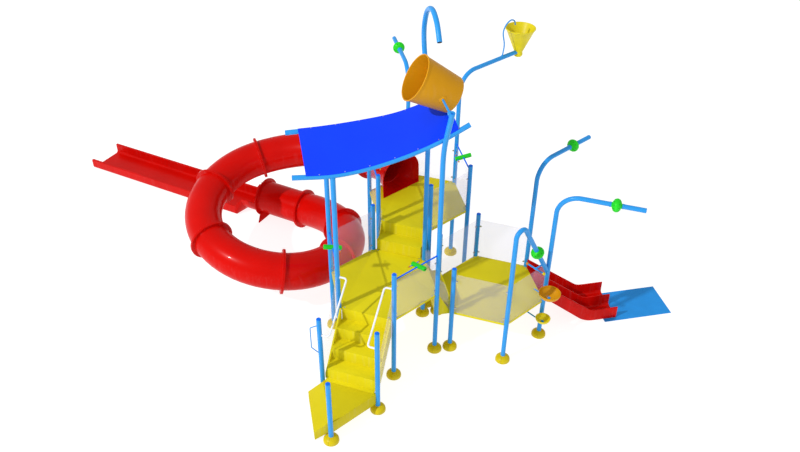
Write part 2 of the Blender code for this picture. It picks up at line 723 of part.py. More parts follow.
def entry_posts():
    for name, base, top in (("entry_post_near", LANDING[1], 1.63), ("entry_post_right", LANDING[2], 2.16)):
        make(name, post(base, top), "post_blue", base)
    base = LANDING[0]
    body = make("entry_post_left", post(base, 2.16), "post_blue", base)
    loop = [base + turn(195) * d + Vector((0, 0, z)) for d, z in
            ((0.03, 1.98), (0.18, 1.91), (0.18, 1.38), (0.03, 1.23))]
    combine(body, [sweep(fillet(loop, 0.04, 3), 0.011, 6)])


def stair_guards():
    """Sloping clear panel each side of the entry flight, outside its cheeks."""
    length = FLIGHT_RUN - 2 * (POST_R + GAP)
    slope = (MIDDLE_Z - LANDING_Z) / FLIGHT_RUN
    for name, x in (("stair_guard_left", -SIDE / 2), ("stair_guard_right", SIDE / 2)):
        a = Vector((x, LANDING_Y + POST_R + GAP, 0))
        low = LANDING_Z - 0.05
        outline = [(0, low), (length, low + slope * length - 0.1), (length, low + slope * length + 1.0),
                   (0, low + 0.85)]
        make(name, slab(outline, a, (0, 1, 0), PANEL_THICK), "clear_panel", a)


def handrails():
    for name, side in (("handrail_left", -1), ("handrail_right", 1)):
        x, inner = side * (SIDE / 2 - POST_R - GAP), side * 0.4
        route = fillet([(x, DECK_Y, 2.43), (inner, DECK_Y, 2.43), (inner, LANDING_Y, 1.74),
                        (x, LANDING_Y, 1.74)], 0.06, 4)
        make(name, sweep(route, 0.02, 10), "rail_white", (x, DECK_Y, 2.43))


def panels():
    z = BAR_OVER_DECK - BAR_CLEAR
    ring = {"middle": (MIDDLE, MIDDLE_Z), "upper": (UPPER, UPPER_Z), "lower": (LOWER, LOWER_Z)}
    sides = (("middle", "right", 300, z), ("middle", "left_front", 180, z),
             ("middle", "left_rear", 120, PANEL_TOP),
             ("upper", "right_front", 300, PANEL_TOP), ("upper", "right_rear", 0, z),
             ("upper", "rear", 60, PANEL_TOP), ("upper", "left", 180, z),
             ("lower", "front", 240, PANEL_TOP), ("lower", "rear", 60, PANEL_TOP),
             ("lower", "inner_rear", 120, PANEL_TOP))
    for deck, place, angle, height in sides:
        centre, deck_z = ring[deck]
        clear_panel(f"{deck}_panel_{place}", corner(centre, angle), corner(centre, angle + 60),
                    deck_z, height)
    slope = (ARCH_CORNER - ARCH_FOOT) / SIDE
    under_arch = ARCH_CORNER - LOWER_Z - (POST_R + 2 * GAP) * math.sqrt(1 + slope ** 2)
    far_end = SIDE - POST_R - GAP
    under = ((far_end, under_arch - slope * far_end), ((under_arch - PANEL_TOP) / slope, PANEL_TOP))
    panel = clear_panel("lower_panel_right", corner(LOWER, 300), corner(LOWER, 0), LOWER_Z, PANEL_TOP, under)
    start = UPPER_DISH - Vector((0, 0, UPPER_DISH_DEPTH - 0.006))
    back = turn(ROD_HEADING)
    combine(panel, [sweep([start + back * 0.1, start + back * 0.5], 0.024)], "DIFFERENCE")


def roof():
    """Thin sheet laid over the two bent tubes."""
    front = roof_curve(FRONT_EDGE, corner(MIDDLE, 240))
    rear = roof_curve(REAR_EDGE, corner(MIDDLE, 180))
    loops = []
    lift = ROOF_TUBE_R + 2 * GAP
    for i in range(1, len(front) - 1):
        section = []
        across = (rear[i] - front[i]).normalized()
        for curve, outward in ((front, -0.02), (rear, 0.02)):
            slope = (curve[i + 1] - curve[i - 1]).normalized()
            normal = slope.cross(across).normalized()
            edge = curve[i] + across * outward
            section.append((edge + normal * lift, edge + normal * (lift + ROOF_SHEET)))
        (f_low, f_high), (r_low, r_high) = section
        loops.append([f_low, f_high, r_high, r_low])
    points, quads = loft(loops)
    halves = []
    for a, b, c, d in quads:
        if a % 4 == 3:          # the underside folds along the same diagonals as the top
            a, b, c, d = b, c, d, a
        halves += [(a, b, c), (a, c, d)]
    make("roof_sheet", (points, halves), "roof_blue", loops[0][0])


def bucket(near_end, far_end):
    """Tipping bucket in its pouring pose, with a shaft each side."""
    tilt = math.radians(BUCKET_TILT)
    mouth = -ROOF_ALONG * math.cos(tilt) + Vector((0, 0, math.sin(tilt)))
    axis_x = ROOF_ACROSS
    below = axis_x.cross(mouth)
    place = Matrix((axis_x, -below, mouth)).transposed().to_4x4()
    place.translation = PIVOT + below * BUCKET_BELOW
    length = BUCKET_BEHIND + BUCKET_AHEAD
    grow = (BUCKET_MOUTH_R - BUCKET_BASE_R) / length

    def radius(along):
        return BUCKET_BASE_R + grow * (along + BUCKET_BEHIND)

    low, high = -BUCKET_BEHIND, BUCKET_AHEAD
    profile = [(0, low), (BUCKET_BASE_R - 0.04, low), (BUCKET_BASE_R - 0.01, low + 0.012),
               (radius(low + 0.04), low + 0.04), (radius(high - 0.025), high - 0.025),
               (radius(high) + 0.012, high - 0.02), (radius(high) + 0.012, high),
               (radius(high) - BUCKET_WALL, high), (radius(low + 0.05) - BUCKET_WALL, low + 0.05),
               (BUCKET_BASE_R - 0.05, low + BUCKET_BASE), (0, low + BUCKET_BASE)]
    body = make("bucket", turned(profile, 24, place), "bucket_orange", PIVOT)
    wall = radius(0)
    for end in (near_end, far_end):
        out = (end - PIVOT).normalized()
        reach = (end - PIVOT).length
        hub = [(wall - 0.009, 0.06), (wall + 0.012, 0.06), (wall + 0.014, SHAFT_R), (reach, SHAFT_R)]
        combine(body, [sweep([PIVOT + out * s for s, _ in hub], [r for _, r in hub], PIN_SIDES)])


def slide_route():
    """The tube slide's axis: its points, the direction at each, and the indices of the joints."""
    point = UPPER + turn(DOOR_HEADING) * (APOTHEM - DOOR_IN)
    path, lengths, joints = [point], [0.0], []
    heading = DOOR_HEADING
    for length, bend, _ in ((FIRST_RUN, 0, 0), *BENDS, (EXIT_RUN, 0, 0)):
        steps = max(4, round(bend / 14))
        for i in range(steps):
            point = point + turn(heading + bend / steps / 2) * (length / steps)
            heading += bend / steps
            path.append(point)
            lengths.append(lengths[-1] + length / steps)
        joints.append(len(path) - 1)
    keys = [(-0.5, DOOR_TUBE_Z), (0, DOOR_TUBE_Z), (0.6, DOOR_TUBE_Z)]
    keys += [(lengths[j], height) for j, (_, _, height) in zip(joints[1:], BENDS)]
    keys += [(lengths[-1], TUBE_EXIT_Z), (lengths[-1] + 0.5, TUBE_EXIT_Z)]
    curve = smooth([(s, z, 0) for s, z in keys], 8)
    for k, s in enumerate(lengths):
        for p, q in zip(curve, curve[1:]):
            if p.x <= s <= q.x:
                height = p.y + (q.y - p.y) * (s - p.x) / (q.x - p.x)
        path[k] = path[k] + Vector((0, 0, height if k < joints[-2] else TUBE_EXIT_Z))
    ahead = [turn(DOOR_HEADING)]
    ahead += [(q - p).normalized() for p, q in zip(path, path[2:])]
    ahead.append(turn(heading))
    return path, ahead, joints


def ring(point, ahead, radius):
    """Upright-based ring round a point of the tube's axis."""
    side = ahead.cross(Vector((0, 0, 1))).normalized()
    up = side.cross(ahead)
    angles = [2 * math.pi * j / TUBE_SIDES for j in range(TUBE_SIDES)]
    return [point + (side * math.cos(a) + up * math.sin(a)) * radius for a in angles]


def tube_rings(path, ahead, joints, first, last):
    """Outer and inner rings of one length of tube, with flanges at the joints that it holds."""
    edge = FLANGE_T + 0.001
    outer, inner = [], []
    for i in range(first, last + 1):
        steps = [(0, TUBE_R)]
        if i in joints:
            steps = [(-edge, TUBE_R), (-FLANGE_T, FLANGE_R), (FLANGE_T, FLANGE_R), (edge, TUBE_R)]
            if i == first:
                steps = [(GAP, FLANGE_R)] + steps[2:]
            if i == last:
                steps = steps[:2] + [(0, FLANGE_R)]
        for along, radius in steps:
            point = path[i] + ahead[i] * along
            outer.append(ring(point, ahead[i], radius))
            inner.append(ring(point, ahead[i], TUBE_R - TUBE_WALL))
    return outer, inner


def doorway_ring(point, ahead, half, low, high, share, radius):
    """Arch-shaped ring with a flat foot, changed by a share towards a circle."""
    side = ahead.cross(Vector((0, 0, 1))).normalized()
    points = []
    for j in range(TUBE_SIDES):
        a = 2 * math.pi * j / TUBE_SIDES
        c, s = math.cos(a), math.sin(a)
        x, z = half * c, high * s
        if s < 0:
            square = 1 / max(abs(c), abs(s))
            x, z = half * c * square, low * s * square
        lean = DOOR_LEAN * (1 - share) * (z + low) / (high + low)
        arch = side * x + Vector((0, 0, z)) + ahead * lean
        circle = (side * c + Vector((0, 0, 1)) * s) * radius
        points.append(point + arch.lerp(circle, share))
    return points


def entrance_rings(door, ahead):
    """Outer and inner rings of the flared entrance hood."""
    foot_z = DOOR_TUBE_Z - UPPER_Z - GAP
    pair = []
    for wall in (0, TUBE_WALL):
        pair.append([doorway_ring(door + ahead * along, ahead, DOOR_HALF - wall, foot_z - wall,
                                  DOOR_HIGH - foot_z - wall, share, TUBE_R - wall)
                     for share, along in ((0, 0), (0.35, 0.1), (0.8, 0.26), (1, FLARE))])
    return pair


def stay(end, ahead, side):
    """Triangular stay from the tube's flank down to the ground."""
    up = Vector((0, 0, 1))
    root = end + side * 0.3 - up * 0.25 - ahead * 0.03
    tip = end + side * STAY_SPREAD
    tip.z = 0.0
    back = root - ahead * 0.27
    thick = (up * 0.3 + side * 0.2).normalized() * 0.012
    low_tip = [tip, tip - ahead * 0.02]
    return loft([[root - thick, low_tip[0], low_tip[1], back - thick],
                 [root + thick, low_tip[0] + thick * 2, low_tip[1] + thick * 2, back + thick]])


def tube_slide():
    path, ahead, joints = slide_route()
    outer, inner = entrance_rings(path[0], ahead[0])
    start = next(i for i, p in enumerate(path) if (p - path[0]).length > FLARE + 0.05)
    more_outer, more_inner = tube_rings(path, ahead, joints, start, joints[1])
    make("tube_entrance", loft_shell(outer + more_outer, inner + more_inner), "slide_red", path[0])
    ends = (*joints[1:7], joints[8])
    for k, (first, last) in enumerate(zip(ends, ends[1:])):
        body = make(f"tube_section_{k + 1}", loft_shell(*tube_rings(path, ahead, joints, first, last)),
                    "slide_red", path[first])
    side = ahead[-1].cross(Vector((0, 0, 1)))
    combine(body, [stay(path[-1], ahead[-1], side), stay(path[-1], ahead[-1], -side)])
    return path[-1], ahead[-1]


def trough_section(half, high, corner_r, wall, rim):
    """Closed outline of an open trough, from its left rim round the outside and back inside."""
    def run(w, low, r):
        arc = [(-w + r - r * math.sin(math.radians(a)), low + r - r * math.cos(math.radians(a)))
               for a in (90, 60, 30, 0)]
        return [(-w, high)] + arc + [(-x, z) for x, z in reversed(arc)] + [(w, high)]
    outer = run(half, 0, corner_r)
    inner = run(half - rim, wall, max(corner_r - wall, 0.02))
    return outer + list(reversed(inner))


def place_section(section, point, ahead, drop=0):
    side = ahead.cross(Vector((0, 0, 1))).normalized()
    return [point + side * x + Vector((0, 0, z - drop)) for x, z in section]


def runout(start, heading):
    """Open trough after the tube: a short flared piece that drops into a long level one."""
    wall = 0.022
    round_bottom = trough_section(TUBE_R, TUBE_R, TUBE_R - 0.01, wall, wall)
    box = trough_section(RUNOUT_HALF, RUNOUT_HIGH, 0.09, wall, RUNOUT_RIM)
    a = Vector((start.x, start.y, start.z - TUBE_R)) + heading * GAP
    ground = 0.02
    b = Vector((start.x, start.y, ground)) + heading * TRANSITION
    loops = []
    for i in range(6):
        t = i / 5
        ease = t * t * (3 - 2 * t)
        mix = [(p[0] + (q[0] - p[0]) * ease, p[1] + (q[1] - p[1]) * ease) for p, q in zip(round_bottom, box)]
        point = a.lerp(b, t)
        point.z = a.z + (b.z - a.z) * ease
        loops.append(place_section(mix, point, heading))
    make("tube_exit_trough", loft(loops), "slide_red", a)
    c = b + heading * GAP
    d = c + heading * RUNOUT
    ends = [place_section(box, c, heading), place_section(box, d, heading)]
    body = make("runout_trough", loft(ends), "slide_red", c)
    side = heading.cross(Vector((0, 0, 1)))
    skids = []
    for share in (0.1, 0.5, 0.9):
        for across in (-0.3, 0.3):
            p = c.lerp(d, share) + side * across
            skids.append(sweep([Vector((p.x, p.y, 0)), Vector((p.x, p.y, ground + 0.01))], 0.05, 8))
    combine(body, skids)


def twin_slide():
    """Two open lanes side by side, and the soft mat they end on."""
    out = turn(30)
    side = turn(120)
    middle = (corner(LOWER, 0) + corner(LOWER, 60)) / 2 + side * TWIN_SHIFT
    high, wall, floor, r = TWIN_WALL, 0.035, 0.02, 0.07
    lane = []
    w0, w1 = -TWIN_HALF + wall, -wall / 2
    arc = [(r * math.sin(math.radians(a)), r * math.cos(math.radians(a))) for a in (90, 60, 30, 0)]
    lane += [(w0, high - 0.01)]
    lane += [(w0 + r - x, floor + r - z) for x, z in arc]
    lane += [(w1 - r + x, floor + r - z) for x, z in reversed(arc)]
    lane += [(w1, high - 0.01)]
    top = [(-TWIN_HALF, 0), (-TWIN_HALF, high - 0.01), (-TWIN_HALF + 0.01, high), (w0 - 0.008, high)] + lane
    section = top + [(w1 + 0.006, high)] + [(-x, z) for x, z in reversed(top[:-1])]
    section.insert(len(top) + 1, (-w1 - 0.006, high))
    section.insert(len(top) + 2, (-w1, high - 0.01))
    deck_line = LOWER_Z - floor - 0.04
    ground = MAT_THICK + GAP
    profile = fillet([(GAP, 0, deck_line), (TWIN_FOOT, 0, ground), (TWIN_END, 0, ground)], 0.6, 4)
    loops = []
    for i, p in enumerate(profile):
        ahead = (profile[min(i + 1, len(profile) - 1)] - profile[max(i - 1, 0)]).normalized()
        if i == 0:
            ahead = Vector((1, 0, 0))
        up = Vector((-ahead.z, 0, ahead.x))
        loops.append([middle + side * x + out * (p.x + up.x * z) + Vector((0, 0, p.z + up.z * z))
                      for x, z in section])
    make("twin_slide", loft(loops), "slide_red", middle)
    mat_side = side * -0.09
    corners = [middle + mat_side + out * d + side * w for d, w in
               ((1.66, -0.4825), (3.32, -0.4825), (3.32, 0.4825), (1.66, 0.4825))]
    make("landing_mat", plate([(c.x, c.y) for c in corners], 0, MAT_THICK), "mat_blue", corners[0])


def cannons():
    cannon("cannon_middle_right", corner(MIDDLE, 300), corner(MIDDLE, 0), MIDDLE_Z, 0.52)
    cannon("cannon_middle_left", corner(MIDDLE, 180), corner(MIDDLE, 240), MIDDLE_Z, 0.47)
    cannon("cannon_upper_right", corner(UPPER, 0), corner(UPPER, 60), UPPER_Z, 0.53)
    cannon("cannon_upper_left", corner(UPPER, 180), corner(UPPER, 240), UPPER_Z, 0.5)


def build():
    remove_start_objects()
    decks()
    landing()
    flight()
    step_between("step_to_upper", MIDDLE, 90, MIDDLE_Z, True)
    step_between("step_to_lower", MIDDLE, 30, LOWER_Z, False)
    near_end, far_end = roof_posts()
    upper_posts()
    lower_posts()
    entry_posts()
    stair_guards()
    handrails()
    panels()
    roof()
    bucket(near_end, far_end)
    water_cone()
    dishes()
    valve_handle()
    cannons()
    end, heading = tube_slide()
    runout(end, heading)
    twin_slide()


build()
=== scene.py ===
import math

import bmesh
import bpy
from mathutils import Matrix, Vector


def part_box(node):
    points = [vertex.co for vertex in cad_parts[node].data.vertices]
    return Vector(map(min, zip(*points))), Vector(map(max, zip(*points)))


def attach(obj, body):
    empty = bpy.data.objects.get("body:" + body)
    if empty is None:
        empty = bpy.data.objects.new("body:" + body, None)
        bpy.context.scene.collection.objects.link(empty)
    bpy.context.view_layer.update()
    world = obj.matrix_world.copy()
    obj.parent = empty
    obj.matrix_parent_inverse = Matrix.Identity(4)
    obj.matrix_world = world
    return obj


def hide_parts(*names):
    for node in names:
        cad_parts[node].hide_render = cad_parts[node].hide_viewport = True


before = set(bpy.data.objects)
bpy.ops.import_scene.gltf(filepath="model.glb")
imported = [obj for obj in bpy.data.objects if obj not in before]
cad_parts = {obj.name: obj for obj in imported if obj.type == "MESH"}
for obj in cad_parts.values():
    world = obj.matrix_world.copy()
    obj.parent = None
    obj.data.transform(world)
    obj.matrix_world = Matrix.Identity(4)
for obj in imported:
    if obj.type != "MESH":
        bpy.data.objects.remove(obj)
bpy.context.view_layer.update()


# Post feet
# Each post stands in a bolted steel shoe under a domed cover of yellow plastic. The cover is
# moulded in two halves, which close round the post and meet on a fine seam.
TOWER = "tower"
POST_R = 0.05
FOOT_R = 0.16
FOOT_SEAM = 0.0018              # half the width of the seam between the two halves
CORNERS = range(0, 360, 60)     # the directions of a deck's corners from its middle


def middle_of(node):
    """Centre in plan of a deck's node, with the height of its top."""
    low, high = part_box(node)
    return Vector(((low.x + high.x) / 2, (low.y + high.y) / 2, 0)), high.z


MIDDLE, MIDDLE_Z = middle_of("middle_deck")
UPPER, UPPER_Z = middle_of("upper_deck")
LOWER, LOWER_Z = middle_of("lower_deck")
deck_low, deck_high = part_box("middle_deck")
APOTHEM = (deck_high.y - deck_low.y) / 2
SIDE = APOTHEM * 2 / math.sqrt(3)
LANDING_Y = APOTHEM
UP = Vector((0, 0, 1))


def cos_sin(degrees):
    """Cosine and sine of an angle."""
    return math.cos(math.radians(degrees)), math.sin(math.radians(degrees))


def turn(degrees):
    """Unit vector in plan at an angle from +X."""
    return Vector((*cos_sin(degrees), 0))


def corner(centre, degrees):
    """Corner of the hexagonal deck round a centre."""
    return centre + turn(degrees) * SIDE


def new_group(name, inputs, outputs):
    """Shader node group with named sockets: (name, kind, first value) in, (name, kind) out."""
    tree = bpy.data.node_groups.new(name, "ShaderNodeTree")
    for label, kind, value in inputs:
        socket = tree.interface.new_socket(label, in_out="INPUT", socket_type=kind)
        socket.default_value = value
    for label, kind in outputs:
        tree.interface.new_socket(label, in_out="OUTPUT", socket_type=kind)
    return tree, tree.nodes.new("NodeGroupInput"), tree.nodes.new("NodeGroupOutput")


def connect(tree, owner, sockets):
    """Give a node's input sockets their sources, each the output of a node or a plain value."""
    for socket, source in sockets:
        if isinstance(source, bpy.types.NodeSocket):
            tree.links.new(source, owner.inputs[socket])
        else:
            owner.inputs[socket].default_value = source


def node(tree, kind, sockets=(), **settings):
    """One shader node with its settings, and the sources of its input sockets."""
    made = tree.nodes.new("ShaderNode" + kind)
    for key, value in settings.items():
        setattr(made, key, value)
    connect(tree, made, sockets)
    return made


def local_place(tree):
    """Place on the piece itself, so that a pattern moves with it."""
    return node(tree, "TexCoord").outputs["Object"]


def mottle_group():
    """Slow change of shade over a painted or moulded surface, and of its gloss."""
    tree, put, out = new_group("mottle", (
        ("Colour", "NodeSocketColor", (1, 1, 1, 1)), ("Depth", "NodeSocketFloat", 0.08),
        ("Scale", "NodeSocketFloat", 3.0), ("Rough", "NodeSocketFloat", 0.3),
        ("Rough Spread", "NodeSocketFloat", 0.06)),
        (("Colour", "NodeSocketColor"), ("Roughness", "NodeSocketFloat")))
    place = local_place(tree)
    cloud = node(tree, "TexNoise", [("Vector", place), ("Scale", put.outputs["Scale"]), ("Detail", 4.0)])
    darkest = node(tree, "Math", [(0, 1.0), (1, put.outputs["Depth"])], operation="SUBTRACT")
    shade = node(tree, "MapRange", [("Value", cloud.outputs["Fac"]), ("From Min", 0.3), ("From Max", 0.7),
                                    ("To Min", darkest.outputs[0])])
    scaled = node(tree, "VectorMath", [(0, put.outputs["Colour"]), ("Scale", shade.outputs[0])],
                  operation="SCALE")
    finer = node(tree, "Math", [(0, put.outputs["Scale"]), (1, 6.0)], operation="MULTIPLY")
    wear = node(tree, "TexNoise", [("Vector", place), ("Scale", finer.outputs[0]), ("Detail", 6.0)])
    spread = node(tree, "Math", [(0, wear.outputs["Fac"]), (1, put.outputs["Rough Spread"]),
                                 (2, put.outputs["Rough"])], operation="MULTIPLY_ADD")
    connect(tree, out, [("Colour", scaled.outputs["Vector"]), ("Roughness", spread.outputs[0])])
    return tree


def skin_group():
    """Height of a fine sprayed or moulded skin, with slow waves under a small grain."""
    tree, put, out = new_group("skin", (
        ("Grain Scale", "NodeSocketFloat", 300.0), ("Wave Scale", "NodeSocketFloat", 6.0),
        ("Wave Share", "NodeSocketFloat", 0.5)), (("Height", "NodeSocketFloat"),))
    place = local_place(tree)
    grain, wave = (node(tree, "TexNoise", [("Vector", place), ("Scale", put.outputs[size]), ("Detail", fine)])
                   for size, fine in (("Grain Scale", 2.0), ("Wave Scale", 1.0)))
    both = node(tree, "Mix", [("Factor", put.outputs["Wave Share"]), ("A", grain.outputs["Fac"]),
                              ("B", wave.outputs["Fac"])])
    connect(tree, out, [("Height", both.outputs["Result"])])
    return tree


def splash_group():
    """Dried water marks: faint paler runs down the upright faces only."""
    tree, put, out = new_group("splash", (
        ("Colour", "NodeSocketColor", (1, 1, 1, 1)), ("Mark", "NodeSocketColor", (0.8, 0.85, 0.9, 1)),
        ("Amount", "NodeSocketFloat", 0.1)),
        (("Colour", "NodeSocketColor"), ("Mask", "NodeSocketFloat")))
    stretch = node(tree, "Mapping", [("Vector", local_place(tree)), ("Scale", (9, 9, 0.7))])
    runs = node(tree, "TexNoise", [("Vector", stretch.outputs["Vector"]), ("Scale", 2.2), ("Detail", 5.0)])
    sharp = node(tree, "MapRange", [("Value", runs.outputs["Fac"]), ("From Min", 0.52), ("From Max", 0.74)])
    facing = node(tree, "SeparateXYZ", [("Vector", node(tree, "TexCoord").outputs["Normal"])])
    level = node(tree, "Math", [(0, facing.outputs["Z"])], operation="ABSOLUTE")
    upright = node(tree, "MapRange", [("Value", level.outputs[0]), ("From Min", 0.2), ("From Max", 0.5),
                                      ("To Min", 1.0), ("To Max", 0.0)])
    runs_only = node(tree, "Math", [(0, sharp.outputs[0]), (1, upright.outputs[0])], operation="MULTIPLY")
    mask = node(tree, "Math", [(0, runs_only.outputs[0]), (1, put.outputs["Amount"])], operation="MULTIPLY")
    mixed = node(tree, "Mix", [("Factor", mask.outputs[0]), ("A", put.outputs["Colour"]),
                               ("B", put.outputs["Mark"])], data_type="RGBA")
    connect(tree, out, [("Colour", mixed.outputs["Result"]), ("Mask", mask.outputs[0])])
    return tree


mottle, skin, splash = mottle_group(), skin_group(), splash_group()


def coloured(name, colour, rough, depth=0.07, scale=2.5, grain=300.0, bump=0.12, marks=0.05, coat=0.0,
             shine=0.2):
    """Moulded or painted finish: mottled colour with water marks, and a fine skin."""
    material = bpy.data.materials.new(name)
    material.use_nodes = True
    tree = material.node_tree
    shader = tree.nodes["Principled BSDF"]
    base = node(tree, "Group", [("Colour", (*colour, 1)), ("Depth", depth), ("Scale", scale),
                                ("Rough", rough)], node_tree=mottle)
    wet = node(tree, "Group", [("Colour", base.outputs["Colour"]), ("Amount", marks)], node_tree=splash)
    fine = node(tree, "Group", [("Grain Scale", grain)], node_tree=skin)
    relief = node(tree, "Bump", [("Height", fine.outputs["Height"]), ("Strength", bump), ("Distance", 0.002)])
    connect(tree, shader, [("Base Color", wet.outputs["Colour"]), ("Roughness", base.outputs["Roughness"]),
                           ("Normal", relief.outputs["Normal"]), ("Specular IOR Level", shine),
                           ("Coat Weight", coat), ("Coat Roughness", 0.08)])
    return material


def quads_between(row, next_row):
    """Faces that join two closed rows of points, given by their indices."""
    n = len(row)
    return [(row[j], row[(j + 1) % n], next_row[(j + 1) % n], next_row[j]) for j in range(n)]


def turned(profile, sides, place=None):
    """Solid of revolution about Z; the profile runs from axis to axis, as (radius, height)."""
    points, faces, rows = [], [], []
    for radius, height in profile:
        if radius == 0:
            rows.append([len(points)] * sides)
            points.append(Vector((0, 0, height)))
        else:
            rows.append(list(range(len(points), len(points) + sides)))
            for j in range(sides):
                a = 2 * math.pi * j / sides
                points.append(Vector((radius * math.cos(a), radius * math.sin(a), height)))
    for low, high in zip(rows, rows[1:]):
        faces += [tuple(dict.fromkeys(face)) for face in quads_between(low, high)]
    if place:
        points = [place @ p for p in points]
    return points, faces


def together(shapes):
    """Several shapes as one list of points and faces."""
    points, faces = [], []
    for more, sides in shapes:
        faces += [tuple(i + len(points) for i in side) for side in sides]
        points += more
    return points, faces


def mesh_of(name, shape, material, sharp=35):
    """Mesh with its normals outwards, smooth over bends flatter than the sharp angle."""
    mesh = bpy.data.meshes.new(name)
    mesh.from_pydata([tuple(p) for p in shape[0]], [], shape[1])
    shell = bmesh.new()
    shell.from_mesh(mesh)
    bmesh.ops.recalc_face_normals(shell, faces=shell.faces)
    shell.to_mesh(mesh)
    shell.free()
    mesh.materials.append(material)
    mesh.shade_smooth()
    mesh.set_sharp_from_angle(angle=math.radians(sharp))
    return mesh


def add(name, shape, material, body=TOWER, stands_for=(), sharp=35, bevel=0.0, origin=None):
    """Put a piece, one shape, a list of shapes or a mesh, on the body that it moves with."""
    if isinstance(shape, list):
        shape = together(shape)
    mesh = shape if isinstance(shape, bpy.types.Mesh) else mesh_of(name, shape, material, sharp)
    piece = bpy.data.objects.new(name, mesh)
    bpy.context.collection.objects.link(piece)
    if origin is not None:
        piece.location = origin
    if bevel:
        edge = piece.modifiers.new("rounded_edges", "BEVEL")
        edge.width = bevel
        edge.segments = 2
        edge.limit_method = "ANGLE"
        edge.angle_limit = math.radians(40)
        edge.harden_normals = True
    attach(piece, body)
    if stands_for:
        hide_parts(*stands_for)
    return piece


foot_yellow = coloured("foot_yellow", (0.66, 0.52, 0.002), 0.36, depth=0.12, scale=9, grain=180)
tree = foot_yellow.node_tree
place_x = node(tree, "SeparateXYZ", [("Vector", local_place(tree))]).outputs["X"]
on_seam = node(tree, "Math", [(0, place_x), (1, 0.0), (2, FOOT_SEAM)], operation="COMPARE")
shader = tree.nodes["Principled BSDF"]
plain = shader.inputs["Base Color"].links[0].from_socket
seamed = node(tree, "Mix", [("Factor", on_seam.outputs[0]), ("A", plain), ("B", (0.2, 0.12, 0.01, 1))],
              data_type="RGBA")
connect(tree, shader, [("Base Color", seamed.outputs["Result"])])

# The dome's profile, in shares of the foot's radius
steps = (0.0, 0.08, 0.2, 0.35, 0.5, 0.65, 0.8, 0.92, 1.0)
dome = [(0, 0), (0.9, 0), (0.93, 0.03)]
dome += [(1.0 - 0.66 * t ** 2.6, 0.1 + 0.83 * t ** 0.75) for t in steps]
dome += [(0.335, 0.96), (0, 0.96)]
foot_mesh = mesh_of("foot_cover", turned([(FOOT_R * r, FOOT_R * z) for r, z in dome], 40), foot_yellow)
standing = [("entry_near", Vector((0, 0, 0))), ("entry_left", Vector((-SIDE / 2, LANDING_Y, 0))),
            ("entry_right", Vector((SIDE / 2, LANDING_Y, 0)))]
for deck, centre in (("middle", MIDDLE), ("upper", UPPER), ("lower", LOWER)):
    standing += [(f"{deck}_{angle}", corner(centre, angle)) for angle in CORNERS]
for name, point in standing:
    add(f"foot_{name}", foot_mesh, foot_yellow, origin=point)


# Plain posts
# The tower hangs on round steel posts, 100 mm across, hot-dipped and powder coated in mid blue.
# Each top is closed by a pressed-in cap of darker blue plastic.
POST_ABOVE = 1.2                # a plain post's height over its deck
TUBE_SIDES = 32

post_paint = coloured("post_paint", (0.022, 0.31, 0.78), 0.3, depth=0.06, scale=3, grain=420, bump=0.05,
                      coat=0.1)
cap_plastic = coloured("cap_plastic", (0.001, 0.16, 0.85), 0.4, scale=20, grain=500)


def frames(path):
    """Two cross directions at each point of a path, carried along without twist."""
    tangents = []
    for i in range(len(path)):
        before = path[max(i - 1, 0)]
        after = path[min(i + 1, len(path) - 1)]
        tangents.append((after - before).normalized())
    side = Vector((1, 0, 0)) if abs(tangents[0].z) > 0.9 else UP
    result = []
    for tangent in tangents:
        side = (side - tangent * side.dot(tangent)).normalized()
        result.append((side, tangent.cross(side)))
    return result


def loft(loops):
    """Closed solid through loops of equal length, with flat ends."""
    n = len(loops[0])
    points = [p for loop in loops for p in loop]
    rows = [range(i * n, i * n + n) for i in range(len(loops))]
    faces = [tuple(reversed(rows[0]))]
    for row, next_row in zip(rows, rows[1:]):
        faces += quads_between(row, next_row)
    faces.append(tuple(rows[-1]))
    return points, faces


def circle(centre, u, v, radius, count):
    """Points round a circle that lies in two cross directions."""
    angles = [2 * math.pi * j / count for j in range(count)]
    return [centre + (u * math.cos(a) + v * math.sin(a)) * radius for a in angles]


def sweep(path, radii, sides=TUBE_SIDES):
    """Round bar along a path; radii is one number or one for each point."""
    path = [Vector(p) for p in path]
    if not isinstance(radii, (list, tuple)):
        radii = [radii] * len(path)
    return loft([circle(p, u, v, r, sides) for p, r, (u, v) in zip(path, radii, frames(path))])


def bar(start, along, profile, sides=TUBE_SIDES):
    """Straight turned bar; the profile is (distance along, radius)."""
    return sweep([start + along * s for s, _ in profile], [r for _, r in profile], sides)


def post(base, top):
    """Upright tube from inside its foot up to the rim that holds its cap."""
    rim = top - 0.01
    return bar(base, UP, ((0.1, POST_R), (rim - 0.003, POST_R), (rim, POST_R - 0.0025)))


def cap(base, top):
    """Cap on an upright tube: a plug inside it under a rounded head."""
    plug = ((top - 0.04, 0.04), (top - 0.0095, 0.04))
    head = ((top - 0.0094, 0.0475), (top - 0.005, 0.0465), (top - 0.002, 0.041), (top - 0.0004, 0.03),
            (top, 0.012))
    return bar(base, UP, plug + head)


def posts(node_name, tops):
    """Plain posts that stand for one node: pairs of base and top."""
    add(f"{node_name}_tubes", [post(b, t) for b, t in tops], post_paint,
        stands_for=[node_name])
    add(f"{node_name}_caps", [cap(b, t) for b, t in tops], cap_plastic)


posts("entry_post_near", [(Vector((0, 0, 0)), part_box("entry_post_near")[1].z)])
posts("entry_post_right", [(Vector((SIDE / 2, LANDING_Y, 0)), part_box("entry_post_right")[1].z)])
posts("middle_post_rear", [(corner(MIDDLE, 120), MIDDLE_Z + POST_ABOVE)])
posts("upper_post_front", [(corner(UPPER, 300), UPPER_Z + POST_ABOVE)])
for name, angle in (("lower_post_front", 240), ("lower_post_inner", 180), ("lower_post_rear", 120)):
    posts(name, [(corner(LOWER, angle), LOWER_Z + POST_ABOVE)])


